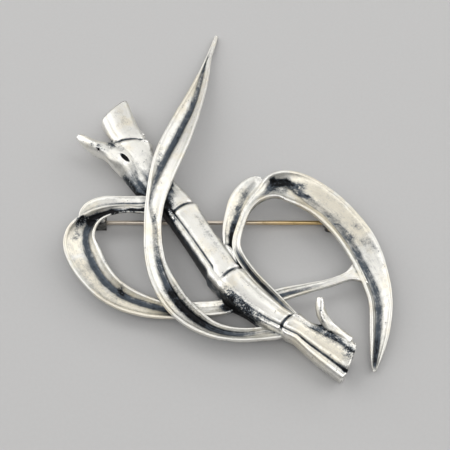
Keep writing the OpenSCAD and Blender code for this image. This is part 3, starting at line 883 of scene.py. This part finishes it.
def node_rows(row, way):
    """The rows of a node's crack and lip, along the stalk, with what they bow and darken."""
    out = []
    for step in NODE_STEPS:
        spread = row._replace(
            x=row.x + way.x * step.along,
            y=row.y + way.y * step.along,
            z=row.z + step.higher,
            half=row.half + step.wider,
            height=row.height + step.higher,
        )
        bow = NODE_BOW * max(0, 1 - abs(step.along) / NODE_REACH)
        out.append((spread, bow, step))
    return out


def bowed_section(row, bow, step, wall):
    """A stalk's section that runs ahead in its middle and is cracked for a part of its width.

    For each spot, side is 0 at the walls' foot and whole is 1 where the node isn't cracked.
    """
    spots = []
    for spot in stalk_section(row, wall):
        share = spot.across / row.half
        if not row.node:
            spots.append(spot._replace(along=-row.skew * share))
            continue
        side = min(1, max(0, (spot.up + CRACK_FOOT) / CRACK_FADE))
        whole = min(1, max(0, (share + 1) / 2 - row.node) / WHOLE_FADE)
        inner = max(0, 1 - (share + 0.1) ** 2)
        # The crack is painted dark as the shadow under the node's lip
        stain = side * step.dark * (1 - whole) * max(0, 1 - abs(share) ** 5)
        lift = -min(0, step.higher) * whole
        lean = row.skew * share * bow / NODE_BOW
        spots.append(spot._replace(across=spot.across - step.wider * share * whole,
                                   up=spot.up + lift, dark=max(spot.dark, stain),
                                   along=-side * (bow * inner + lean)))
    return spots


def sawn_end(row, way, inward, wall):
    """The rows and sections of a sawn end with a worn edge, from the end inwards."""
    out = []
    for step in SAWN_STEPS:
        moved = row._replace(x=row.x + inward * way.x * step.inward,
                             y=row.y + inward * way.y * step.inward)
        spots = bowed_section(moved, 0, NO_STEP, wall)
        flat = [Vector((spot.across, spot.up)) for spot in spots]
        drawn = []
        for k, spot in enumerate(spots):
            edge = (flat[(k + 1) % len(flat)] - flat[k - 1]).normalized() * step.drawn
            worn = inward * CORNER_WEAR * min(1, abs(spot.across) / row.half) ** 6
            drawn.append(spot._replace(across=spot.across - edge.y, up=spot.up + edge.x,
                                       along=spot.along + worn))
        out.append((moved, drawn))
    return out if inward > 0 else out[::-1]


def settled(name, edge):
    """The new primitive with its name, its scale applied and its edges worn."""
    piece = bpy.context.object
    piece.name = name
    bpy.ops.object.transform_apply(location=True, rotation=True, scale=True)
    if edge:
        apply_modifier(piece, "BEVEL", width=edge * MM, segments=3, limit_method="ANGLE")
    return piece


def build_block(name, middle, size, edge):
    """A block with worn edges, in millimetres."""
    deselect_all()
    bpy.ops.mesh.primitive_cube_add(size=1, location=Vector(middle) * MM,
                                    scale=Vector(size) * MM)
    return settled(name, edge)


def build_rod(name, middle, radius, length, along, edge=0.0, sides=48):
    """A round bar that runs along X or Y through its middle, with softened ends."""
    deselect_all()
    turn = (0, math.pi / 2, 0) if along == "X" else (math.pi / 2, 0, 0)
    bpy.ops.mesh.primitive_cylinder_add(vertices=sides, radius=radius * MM, depth=length * MM,
                                        location=Vector(middle) * MM, rotation=turn)
    return settled(name, edge)


def add_to(piece, other, operation="UNION"):
    apply_modifier(piece, "BOOLEAN", operation=operation, solver="EXACT", object=other)
    bpy.data.objects.remove(other)


def hand_over(piece, body, node, material):
    """Smooths a finished piece and sets it in place of the frame's node."""
    make_active(piece)
    bpy.ops.object.transform_apply(location=True, rotation=True, scale=True)
    bpy.ops.object.shade_smooth_by_angle(angle=math.radians(35))
    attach(piece, body)
    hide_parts(node)
    piece.data.materials.clear()
    piece.data.materials.append(material)


# Materials


class Wire:
    """A socket of a node that can be reckoned with; the sums become Math nodes."""

    def __init__(self, sheet, socket):
        self.sheet = sheet
        self.socket = socket

    def reckon(self, operation, *others):
        return self.sheet.node("ShaderNodeMath", {"operation": operation}, (self, *others))

    def __add__(self, other):
        return self.reckon("ADD", other)

    def __sub__(self, other):
        return self.reckon("SUBTRACT", other)

    def __mul__(self, other):
        return self.reckon("MULTIPLY", other)

    def __rsub__(self, other):
        return self.sheet.node("ShaderNodeMath", {"operation": "SUBTRACT"}, (other, self))

    __radd__ = __add__
    __rmul__ = __mul__

    def smaller(self, other):
        return self.reckon("MINIMUM", other)

    def between(self, low, high):
        """0 below low, 1 above high and a soft step in between."""
        return self.sheet.node(
            "ShaderNodeMapRange", {"interpolation_type": "SMOOTHSTEP", "clamp": True},
            {"Value": self, "From Min": low, "From Max": high, "To Min": 0.0, "To Max": 1.0},
        )


class Sheet:
    """A material's nodes, each made by one call."""

    def __init__(self, name):
        self.material = bpy.data.materials.new(name)
        self.material.use_nodes = True
        self.nodes = self.material.node_tree.nodes
        self.links = self.material.node_tree.links
        self.shader = self.nodes["Principled BSDF"]

    def set(self, socket, value):
        if isinstance(value, Wire):
            self.links.new(value.socket, socket)
        elif hasattr(value, "__len__") and len(value) == 3 and socket.type == "RGBA":
            socket.default_value = (*value, 1)
        else:
            socket.default_value = value

    def node(self, kind, settings=None, inputs=(), output=0):
        made = self.nodes.new(kind)
        for name, value in (settings or {}).items():
            setattr(made, name, value)
        pairs = inputs.items() if isinstance(inputs, dict) else enumerate(inputs)
        for key, value in pairs:
            self.set(made.inputs[key], value)
        return Wire(self, made.outputs[output])

    def attribute(self, name, output="Fac"):
        return self.node("ShaderNodeAttribute", {"attribute_name": name}, output=output)

    def blend(self, share, a, b):
        """Colour a turned into colour b by a share."""
        return self.node("ShaderNodeMix", {"data_type": "RGBA"}, {0: share, 6: a, 7: b}, output=2)

    def stretch(self, vector, scale):
        return self.node("ShaderNodeVectorMath", {"operation": "MULTIPLY"}, (vector, scale))

    def place(self):
        return self.node("ShaderNodeTexCoord", output="Object")

    def bump(self, strength, depth, height):
        """Bumps that are up to so many millimetres deep."""
        inputs = {"Strength": strength, "Distance": depth * MM, "Height": height}
        return self.node("ShaderNodeBump", {}, inputs)

    def noise(self, vector, scale, detail=3.0, roughness=0.55):
        inputs = {"Vector": vector, "Scale": scale, "Detail": detail, "Roughness": roughness}
        return self.node("ShaderNodeTexNoise", {}, inputs)

    def finish(self, **values):
        for name, value in values.items():
            self.set(self.shader.inputs[name.replace("_", " ")], value)
        return self.material


def darkened_silver():
    """Cast silver: polished rims, satin faces, oxide in the grooves, and painted shade in
    crevices, gaps and shaded walls.

    Scales are cells to the metre: clouds of 4 mm, blotches of 1 mm, specks of 0.3 mm.
    """
    finish = bpy.context.scene.brooch_finish
    sheet = Sheet("darkened_silver")
    place = sheet.place()
    grain = sheet.attribute("grain", "Vector")
    tarnish_and_shade = sheet.attribute("tarnish_and_shade")
    occluded = sheet.attribute("occlusion")
    bend = sheet.attribute("bend")
    warm = sheet.attribute("warm")

    clouds = sheet.noise(place, 230.0, 3.0)
    blotch = sheet.noise(place, 800.0, 5.0, 0.68)
    speck = sheet.noise(place, 3600.0, 3.0, 0.6)
    streak = sheet.noise(sheet.stretch(grain, (300.0, 4200.0, 1.0)), 1.0, 4.0, 0.65)
    pit_spread = sheet.node("ShaderNodeTexVoronoi", {}, {"Vector": place, "Scale": 1150.0})
    pit = (1.0 - pit_spread.between(0.08, 0.2)) * blotch.between(0.5, 0.6)

    # The darkening adds the groove patina and the painted shade of the lower walls and cracks,
    # the occlusion, which is part crevice patina and part painted shade, and the listed stains
    # and painted shade, less the polish on convex rims; the film, the oxide and the near black
    # all follow it, so they paint shade as well as patina
    stain = tarnish_and_shade * 0.85 + occluded * 0.95 - bend * 0.9
    stain = stain + sheet.attribute("stain_and_shade") * (speck * 2.4 + blotch * 2.0 - 1.5)
    stain = stain + (blotch - 0.5) * 0.75 + (speck - 0.5) * 0.35 + (streak - 0.5) * 0.6
    film = stain.between(0.0, 0.42)
    oxide = stain.between(0.34, 0.78)
    deep = (stain + occluded * 0.3).between(0.85, 1.2)
    rim = (bend + (blotch - 0.5) * 0.12).between(0.05, 0.3)
    satin = 1.0 - rim

    warm_share = (clouds + (blotch - 0.5) * 0.4 + warm * 0.3).between(0.44, 0.75)
    face = sheet.blend(streak.between(0.35, 0.7) * 0.7, finish.satin, finish.polished)
    face = sheet.blend(warm_share * 0.62, face, finish.warm)
    face = sheet.blend(film * 0.55, face, finish.film)
    bright = sheet.blend(rim * (1.0 - film * 0.4), face, finish.polished)
    dark = sheet.blend(deep, finish.oxide, finish.deep_oxide_and_shade)
    colour = sheet.blend((oxide + pit * 0.75).smaller(1.0), bright, dark)

    roughness = satin * (finish.satin_roughness - finish.rim_roughness) + finish.rim_roughness
    roughness = roughness + (streak - 0.5) * 0.16 + (blotch - 0.5) * 0.12 + oxide * 0.1
    height = streak * 0.4 + speck * 0.35 + blotch * 0.8 - pit * 1.2
    bump = sheet.bump(0.6, 0.08, height)
    return sheet.finish(Base_Color=colour, Roughness=roughness, Metallic=1.0 - deep * 0.2,
                        Normal=bump)


class BROOCH_OT_stalk(bpy.types.Operator):
    """Models the hollow-backed bamboo stalk with its nodes and its two cut ends"""

    bl_idname = "brooch.stalk"
    bl_label = "Stalk"

    def execute(self, context):
        wall = context.scene.brooch_sizes.wall / MM
        ways = headings(STALK, level=True)
        stations = sawn_end(STALK[0], ways[0], 1, wall)
        for row, way in zip(STALK[1:-1], ways[1:-1]):
            steps = node_rows(row, way) if row.node else [(row, 0, NO_STEP)]
            stations += [(spread, bowed_section(spread, bow, step, wall))
                         for spread, bow, step in steps]
        stations += sawn_end(STALK[-1], ways[-1], -1, wall)
        rows, sections = zip(*stations)
        build_strand("stalk", rows, sections, level=True, sawn=True)
        return {"FINISHED"}


class BROOCH_OT_leaves(bpy.types.Operator):
    """Models the three long leaves, their back lobes and the strut on the right"""

    bl_idname = "brooch.leaves"
    bl_label = "Leaves"

    def execute(self, context):
        for leaf in LEAVES:
            build_leaf(leaf.name, leaf.table, leaf.floor, leaf.swell)
        return {"FINISHED"}


class BROOCH_OT_twigs(bpy.types.Operator):
    """Models the side twig, the thorn, the two buds, and the solder in two corners"""

    bl_idname = "brooch.twigs"
    bl_label = "Twigs"

    def execute(self, context):
        for name, table in TWIGS.items():
            build_twig(name, table)
        return {"FINISHED"}


def vertex_values(piece, name, width=1):
    """The values of one attribute on the vertices of a piece, as an array."""
    values = np.zeros(len(piece.data.vertices) * width)
    layer = piece.data.attributes[name]
    layer.data.foreach_get("vector" if width == 3 else "value", values)
    return values.reshape(-1, width) if width > 1 else values


def write_values(piece, name, values):
    """Writes a value, or a vector, to each vertex of a piece."""
    values = np.asarray(values, np.float32)
    kind, field = ("FLOAT", "value") if values.ndim == 1 else ("FLOAT_VECTOR", "vector")
    old = piece.data.attributes.get(name)
    if old:
        piece.data.attributes.remove(old)
    layer = piece.data.attributes.new(name, kind, "POINT")
    layer.data.foreach_set(field, values.ravel())


def positions(piece, normals=False):
    """Where a piece's vertices are, or how they face, a row for each."""
    out = np.zeros(len(piece.data.vertices) * 3)
    if normals:
        piece.data.vertex_normals.foreach_get("vector", out)
    else:
        piece.data.vertices.foreach_get("co", out)
    return out.reshape(-1, 3)


def edge_ends(piece):
    """The two vertices of each edge, a row for each."""
    out = np.zeros(len(piece.data.edges) * 2, np.int64)
    piece.data.edges.foreach_get("vertices", out)
    return out.reshape(-1, 2)


def neighbour_mean(values, ends):
    """The mean of a value over the neighbours of each vertex."""
    total = np.zeros_like(values)
    count = np.zeros(len(values))
    for a, b in (ends.T, ends.T[::-1]):
        np.add.at(total, a, values[b])
        np.add.at(count, a, 1)
    count = np.maximum(count, 1)
    return total / (count[:, None] if values.ndim > 1 else count)


def blurred(values, ends, rounds):
    for _ in range(rounds):
        values = 0.5 * values + 0.5 * neighbour_mean(values, ends)
    return values


def convexity(piece, ends):
    """How sharply the surface turns out at each vertex; grooves are negative."""
    spots = positions(piece)
    ways = positions(piece, normals=True)
    rise = np.einsum("ij,ij->i", spots - neighbour_mean(spots, ends), ways)
    reach = np.linalg.norm(spots[ends[:, 0]] - spots[ends[:, 1]], axis=1)
    total = np.zeros(len(spots))
    count = np.zeros(len(spots))
    for k in (0, 1):
        np.add.at(total, ends[:, k], reach)
        np.add.at(count, ends[:, k], 1)
    mean = total / np.maximum(count, 1)
    return rise / np.maximum(mean, 1e-6) ** 2 * MM


def dome_rays(count):
    """Evenly spread directions over a dome, as many again in its middle as at its rim."""
    out = []
    for k in range(count):
        height = math.sqrt((k + 0.5) / count) * 0.85 + 0.15
        turn = k * GOLDEN_ANGLE
        flat = math.sqrt(max(0, 1 - height * height))
        out.append(Vector((flat * math.cos(turn), flat * math.sin(turn), height)))
    return out


def occlusion(piece, reach, count):
    """Share of the dome over each vertex that near metal covers."""
    tree = BVHTree.FromObject(piece, bpy.context.evaluated_depsgraph_get())
    rays = dome_rays(count)
    spots = positions(piece)
    ways = positions(piece, normals=True)
    covered = np.zeros(len(spots))
    for i, (spot, way) in enumerate(zip(spots, ways)):
        up = Vector(way)
        turn = up.to_track_quat("Z", "Y").to_matrix()
        start = Vector(spot) + up * RAY_START * MM
        total = 0.0
        for ray in rays:
            hit = tree.ray_cast(start, turn @ ray, reach)
            if hit[0] is not None:
                total += 1 - hit[3] / reach
        covered[i] = total / count
    return covered


def smooth_near(piece, chosen, rings, rounds):
    """Smooths the chosen vertices and so many rings about them, as solder fills a join."""
    ends = edge_ends(piece)
    for _ in range(rings):
        grown = chosen.copy()
        for a, b in (ends.T, ends.T[::-1]):
            grown[b[chosen[a]]] = True
        chosen = grown
    open_for_edit(piece)
    close_edit()
    piece.data.vertices.foreach_set("select", chosen)
    bpy.ops.object.mode_set(mode="EDIT")
    bpy.ops.mesh.vertices_smooth(factor=0.5, repeat=rounds)
    close_edit()


class BROOCH_OT_spray(bpy.types.Operator):
    """Casts the strands into one body, rounds their joins and finds where patina and painted
    shade darken it
    """

    bl_idname = "brooch.spray"
    bl_label = "Cast spray"

    def execute(self, context):
        sizes = context.scene.brooch_sizes
        spray = bpy.data.objects["stalk"]
        spray.name = "cast_spray"
        known, darks, grains = self.note_values([spray] + [bpy.data.objects[n] for n in STRANDS])
        for name in STRANDS:
            self.cast_on(spray, bpy.data.objects[name])
        for seat in (HINGE_SEAT, CATCH_SEAT):
            block = build_block("seat", (seat.x, PIN_Y, (SEAT_FOOT + seat.top) / 2),
                                (seat.length, seat.width, seat.top - SEAT_FOOT), SEAT_EDGE)
            self.cast_on(spray, block)
        self.strike_dents(spray)
        found = [known.find(spot) for spot in positions(spray)]
        nearest = [index for place, index, gap in found]
        seam = np.array([gap > SEAM_GAP * MM for place, index, gap in found])
        write_values(spray, "dark", darks[nearest])
        write_values(spray, "grain", grains[nearest])
        smooth_near(spray, seam, SEAM_RINGS, sizes.fillet_steps)
        self.cast_waves(spray, sizes)
        self.find_tarnish_and_shade(spray, sizes)
        make_active(spray)
        bpy.ops.object.shade_smooth()
        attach(spray, "brooch")
        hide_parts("spray")
        spray.data.materials.clear()
        spray.data.materials.append(darkened_silver())
        return {"FINISHED"}

    def note_values(self, strands):
        """Where the strands' vertices are, how dark each is and how its grain runs."""
        spots = np.vstack([positions(strand) for strand in strands])
        known = KDTree(len(spots))
        for i, spot in enumerate(spots):
            known.insert(spot, i)
        known.balance()
        darks = np.concatenate([vertex_values(strand, "dark") for strand in strands])
        grains = np.vstack([vertex_values(strand, "grain", 3) for strand in strands])
        return known, darks, grains

    def cast_on(self, spray, strand, operation="UNION"):
        """Joins a strand to the spray, or takes a tool's shape out of it."""
        before = len(spray.data.vertices)
        apply_modifier(spray, "BOOLEAN", operation=operation, solver="MANIFOLD", object=strand)
        if len(spray.data.vertices) == before:
            raise RuntimeError(f"{strand.name} didn't join the spray")
        bpy.data.objects.remove(strand)

    def cast_waves(self, spray, sizes):
        """Leaves the surface as uneven as a hand-finished casting, in two sizes of waves."""
        for name, reach, height in (("slow_waves", sizes.wave, sizes.wave_height),
                                    ("quick_waves", sizes.wave / 3, sizes.wave_height / 3)):
            clouds = bpy.data.textures.new(name, "CLOUDS")
            clouds.noise_scale = reach
            apply_modifier(spray, "DISPLACE", texture=clouds, texture_coords="LOCAL",
                           strength=height, mid_level=0.5)

    def strike_dents(self, spray):
        """Sinks the slot beside the stub and the pits on the side twig."""
        for dent in DENTS:
            deselect_all()
            run = Vector((dent.run_x, dent.run_y, 0)) * MM
            bpy.ops.mesh.primitive_uv_sphere_add(
                segments=24, ring_count=16, radius=dent.radius * MM,
                location=Vector((dent.x, dent.y, dent.z)) * MM + run / 2)
            tool = bpy.context.object
            stretch = 1 + run.length / (2 * dent.radius * MM)
            bpy.ops.object.mode_set(mode="EDIT")
            bpy.ops.transform.resize(value=(stretch, 1, 1), center_override=tool.location)
            bpy.ops.transform.rotate(value=-math.atan2(run.y, run.x), orient_axis="Z",
                                     center_override=tool.location)
            close_edit()
            self.cast_on(spray, tool, "DIFFERENCE")

    def find_tarnish_and_shade(self, spray, sizes):
        """Writes where the silver is darkened, by patina and by painted shade, and where it is
        polished.
        """
        ends = edge_ends(spray)
        dark = blurred(vertex_values(spray, "dark"), ends, 2)
        bend = np.clip(blurred(convexity(spray, ends), ends, 1), *SHARPNESS)
        bend = blurred(bend, ends, 3)
        rays = FULL_RAYS
        # The occlusion darkens the silver in the material: partly patina that polishing leaves in
        # crevices, partly painted shade
        occluded = blurred(occlusion(spray, sizes.shade_reach, rays), ends, 2)
        spots = positions(spray) / MM
        stain_and_shade = np.zeros(len(spots))
        warm = np.zeros(len(spots))
        wander = np.array([noise_vector(Vector(spot) / STAIN_CELL) for spot in spots])
        plan = (spots + STAIN_WANDER * wander)[:, :2]
        # Faces that look down keep the plain tarnish of the back
        facing = positions(spray, normals=True)[:, 2]
        seen = np.clip((facing - FACES_DOWN) / FACES_SOFTENING, 0, 1)
        # Each listed place paints its darkness and yellow into the vertices that it covers; some
        # of that darkness is painted shade
        for stain in STAINS_AND_SHADE:
            run = np.array((stain.run_x, stain.run_y))
            past = plan - (stain.x, stain.y)
            share = np.clip(past @ run / max(run @ run, 0.01), 0, 1)
            away = np.linalg.norm(past - share[:, None] * run, axis=1) / stain.radius
            within = (spots[:, 2] > STAIN_FOOT) * (spots[:, 2] < stain.top)
            fade = np.clip(STAIN_FADE - away, 0, 1) * within * seen
            stain_and_shade = np.maximum(stain_and_shade, stain.dark * fade)
            warm = np.maximum(warm, stain.warm * fade)
        found = {"tarnish_and_shade": dark, "stain_and_shade": blurred(stain_and_shade, ends, 2), "warm": warm,
                 "occlusion": occluded, "bend": bend}
        for name, values in found.items():
            write_values(spray, name, values)


def painted_shade_silver():
    """The hinge and the catch: the same silver, filed, painted near black as the shade that they
    lie in under the leaves.
    """
    finish = bpy.context.scene.brooch_finish
    sheet = Sheet("fittings_in_painted_shade")
    place = sheet.place()
    blotch = sheet.noise(place, 700.0, 4.0, 0.65)
    files = sheet.noise(sheet.stretch(place, (900.0, 9000.0, 2500.0)), 1.0, 3.0)
    stain = (blotch + (files - 0.5) * 0.3).between(0.3, 0.6)
    # Mostly near black: painted shade over the filed silver
    colour = sheet.blend(stain * 0.25 + 0.72, finish.satin, finish.deep_oxide_and_shade)
    bump = sheet.bump(0.5, 0.03, files + blotch * 0.5)
    return sheet.finish(Base_Color=colour, Roughness=stain * 0.15 + 0.36, Metallic=1.0,
                        Normal=bump)


def worn_brass():
    """The pin's wire: grey-cream where it is rubbed, golden and brown where it isn't."""
    finish = bpy.context.scene.brooch_finish
    sheet = Sheet("worn_brass")
    place = sheet.place()
    along = sheet.node("ShaderNodeSeparateXYZ", {}, (place,))
    blotch = sheet.noise(place, 520.0, 4.0, 0.6)
    draw = sheet.noise(sheet.stretch(place, (160.0, 7000.0, 7000.0)), 1.0, 2.0)
    golden = (along + (blotch - 0.5) * 0.01).between(-2 * MM, 16 * MM)
    colour = sheet.blend(golden, finish.rubbed_brass, finish.brass)
    colour = sheet.blend(blotch.between(0.52, 0.75) * 0.7, colour, finish.brown_brass)
    bump = sheet.bump(0.4, 0.02, draw + blotch)
    return sheet.finish(Base_Color=colour, Roughness=blotch * 0.25 + 0.22, Metallic=1.0,
                        Normal=bump)


def floor_paper():
    """A pale floor with the faintest tooth."""
    stage = bpy.context.scene.brooch_stage
    sheet = Sheet("floor_paper")
    place = sheet.place()
    tooth = sheet.noise(place, 1500.0, 4.0)
    pale = tuple(stage.floor)
    colour = sheet.blend(tooth, tuple(0.97 * c for c in pale), tuple(1.03 * c for c in pale))
    return sheet.finish(Base_Color=colour, Roughness=0.9)


class BROOCH_OT_hinge(bpy.types.Operator):
    """Models the hinge: a plate with two round ears, and the domed rivet through them"""

    bl_idname = "brooch.hinge"
    bl_label = "Hinge"

    def execute(self, context):
        edge = context.scene.brooch_sizes.edge_round / MM
        plate = build_block("hinge_plate", (HINGE_X, PIN_Y, PLATE_FOOT + PLATE / 2),
                            (HINGE_SEAT.length, HINGE_SEAT.width, PLATE), edge)
        for side in (-1, 1):
            y = PIN_Y + side * (EAR_GAP + PLATE) / 2
            ear = build_rod("ear", (HINGE_X, y, PIN_Z), PIN_Z, PLATE, "Y")
            rise = PLATE_FOOT + EAR_BITE - PIN_Z
            cheek = build_block("cheek", (HINGE_X, y, PIN_Z + rise / 2),
                                (2 * PIN_Z, PLATE, rise), SHARP)
            add_to(ear, cheek)
            add_to(plate, ear)
        bore = build_rod("bore", HINGE, RIVET_D / 2 + RIVET_PLAY, THROUGH, "Y")
        add_to(plate, bore, "DIFFERENCE")
        apply_modifier(plate, "BEVEL", width=edge * MM / 2, segments=2, limit_method="ANGLE",
                       angle_limit=math.radians(50))
        hand_over(plate, "brooch", "hinge_bracket", painted_shade_silver())

        grip = EAR_GAP + 2 * (PLATE + HEAD_GAP)
        rivet = build_rod("rivet", HINGE, RIVET_D / 2, grip + 2 * HEAD_BITE, "Y")
        for side in (-1, 1):
            head = self.build_head(side, PIN_Y + side * grip / 2)
            add_to(rivet, head)
        hand_over(rivet, "brooch", "hinge_rivet", worn_brass())
        return {"FINISHED"}

    def build_head(self, side, y):
        """A hammered head: a disc whose outer face is drawn in to a low dome."""
        head = build_rod("rivet_head", (HINGE_X, y + side * HEAD_HEIGHT / 2, PIN_Z),
                         HEAD_R, HEAD_HEIGHT, "Y")
        open_for_edit(head, "FACE")
        edit = bmesh.from_edit_mesh(head.data)
        for face in edit.faces:
            face.select = face.normal.y * side > 0.9
        bmesh.update_edit_mesh(head.data)
        bpy.ops.transform.resize(value=(HEAD_CROWN, 1, HEAD_CROWN),
                                 center_override=(HINGE_X * MM, y * MM, PIN_Z * MM))
        bpy.ops.mesh.inset(thickness=HEAD_INSET * MM)
        bpy.ops.transform.translate(value=(0, side * HEAD_RISE * MM, 0))
        close_edit()
        return head


class BROOCH_OT_pin(bpy.types.Operator):
    """Models the brass pin: a bored knuckle, a straight wire and a ground point"""

    bl_idname = "brooch.pin"
    bl_label = "Pin"

    def execute(self, context):
        pin = build_rod("pin_wire", (HINGE_X - PIN_REACH / 2, PIN_Y, PIN_Z),
                        PIN_D / 2, PIN_REACH, "X", sides=32)
        self.grind_point(pin)
        knuckle = build_rod("knuckle", HINGE, KNUCKLE_R, KNUCKLE_W, "Y", KNUCKLE_EDGE)
        add_to(knuckle, pin)
        bore = build_rod("bore", HINGE, BORE_R, THROUGH, "Y")
        add_to(knuckle, bore, "DIFFERENCE")
        hand_over(knuckle, "pin", "pin_stem", worn_brass())
        return {"FINISHED"}

    def grind_point(self, pin):
        """Cuts the wire in rings near its end and draws them in to a point."""
        tip = HINGE_X - PIN_REACH
        open_for_edit(pin)
        for step in POINT:
            x = tip + step.back
            if step.back:
                bpy.ops.mesh.select_all(action="SELECT")
                bpy.ops.mesh.bisect(plane_co=(x * MM, 0, 0), plane_no=(1, 0, 0))
            bpy.ops.mesh.select_mode(type="VERT")
            bpy.ops.mesh.select_all(action="DESELECT")
            edit = bmesh.from_edit_mesh(pin.data)
            for vert in edit.verts:
                vert.select = abs(vert.co.x - x * MM) < SHARP * MM
            edit.select_flush_mode()
            bmesh.update_edit_mesh(pin.data)
            bpy.ops.transform.resize(value=(1, step.share, step.share),
                                     center_override=(x * MM, PIN_Y * MM, PIN_Z * MM))
        close_edit()


class BROOCH_OT_catch(bpy.types.Operator):
    """Models the plain open catch: a plate with a slotted block that the wire springs into"""

    bl_idname = "brooch.catch"
    bl_label = "Catch"

    def execute(self, context):
        edge = context.scene.brooch_sizes.edge_round / MM
        slot_r = PIN_D / 2 + SLOT_PLAY
        outer = slot_r + SLOT_WALL
        catch = build_block("catch_plate", (CATCH_X, PIN_Y, PLATE_FOOT + PLATE / 2),
                            (CATCH_SEAT.length, CATCH_SEAT.width, PLATE), edge)
        rise = PLATE_FOOT + CATCH_BITE
        block = build_block("catch_block", (CATCH_X, PIN_Y, rise / 2),
                            (CATCH_LENGTH, 2 * outer, rise), edge)
        add_to(catch, block)
        bore = build_rod("bore", (CATCH_X, PIN_Y, PIN_Z), slot_r, THROUGH, "X")
        mouth = build_block("mouth", (CATCH_X, PIN_Y, (PIN_Z - SLOT_DROP) / 2),
                            (THROUGH, 2 * slot_r, PIN_Z + SLOT_DROP), SHARP)
        add_to(bore, mouth)
        add_to(catch, bore, "DIFFERENCE")
        hand_over(catch, "brooch", "catch", painted_shade_silver())
        return {"FINISHED"}


class BROOCH_OT_stage(bpy.types.Operator):
    """Sets the pale floor, the softboxes and the camera"""

    bl_idname = "brooch.stage"
    bl_label = "Stage"

    def execute(self, context):
        stage = context.scene.brooch_stage
        deselect_all()
        bpy.ops.mesh.primitive_plane_add(size=4, location=(0, 0, 0))
        floor = context.object
        floor.name = "floor"
        floor.data.materials.append(floor_paper())
        away = Vector((0, -math.cos(stage.camera_elevation), math.sin(stage.camera_elevation)))
        camera = bpy.data.cameras.new("camera")
        camera.lens = stage.camera_lens
        camera.clip_start = 0.01
        holder = bpy.data.objects.new("camera", camera)
        context.scene.collection.objects.link(holder)
        holder.location = Vector(CAMERA_AIM) * MM + away * stage.camera_distance
        holder.rotation_euler = (math.pi / 2 - stage.camera_elevation, 0, 0)
        context.scene.camera = holder
        context.scene.view_settings.view_transform = "Standard"
        world = bpy.data.worlds.new("world")
        context.scene.world = world
        world.use_nodes = True
        background = world.node_tree.nodes["Background"].inputs
        background["Color"].default_value = (1, 1, 1, 1)
        background["Strength"].default_value = stage.sky
        for box in SOFTBOXES:
            deselect_all()
            where = Vector((box.x, box.y, box.z))
            bpy.ops.object.light_add(type="AREA", location=where)
            light = context.object
            light.name = box.name
            light.data.shape = "RECTANGLE"
            light.data.size = box.width
            light.data.size_y = box.depth
            light.data.energy = box.glow * math.pi * box.width * box.depth * stage.light
            aim = Vector(LIGHT_AIM) * MM - where
            light.rotation_euler = aim.to_track_quat("-Z", "Y").to_euler()
        return {"FINISHED"}


OPERATORS = [BROOCH_OT_stalk, BROOCH_OT_leaves, BROOCH_OT_twigs, BROOCH_OT_spray,
             BROOCH_OT_hinge, BROOCH_OT_pin, BROOCH_OT_catch, BROOCH_OT_stage]


class BROOCH_PT_panel(bpy.types.Panel):
    """Lists the brooch's pieces in the order that they are made"""

    bl_label = "Bamboo brooch"
    bl_idname = "BROOCH_PT_panel"
    bl_space_type = "VIEW_3D"
    bl_region_type = "UI"
    bl_category = "Brooch"

    def draw(self, context):
        for operator in OPERATORS:
            self.layout.operator(operator.bl_idname)


GROUPS = {"brooch_sizes": BroochSizes, "brooch_finish": BroochFinish, "brooch_stage": BroochStage}
CLASSES = [*GROUPS.values(), *OPERATORS, BROOCH_PT_panel]


def register():
    for made in CLASSES:
        bpy.utils.register_class(made)
    for name, group in GROUPS.items():
        setattr(bpy.types.Scene, name, bpy.props.PointerProperty(type=group))


def unregister():
    for name in GROUPS:
        delattr(bpy.types.Scene, name)
    for made in reversed(CLASSES):
        bpy.utils.unregister_class(made)


def main():
    register()
    bpy.ops.brooch.stalk()
    bpy.ops.brooch.leaves()
    bpy.ops.brooch.twigs()
    bpy.ops.brooch.spray()
    bpy.ops.brooch.hinge()
    bpy.ops.brooch.pin()
    bpy.ops.brooch.catch()
    bpy.ops.brooch.stage()


if __name__ == "__main__":
    main()
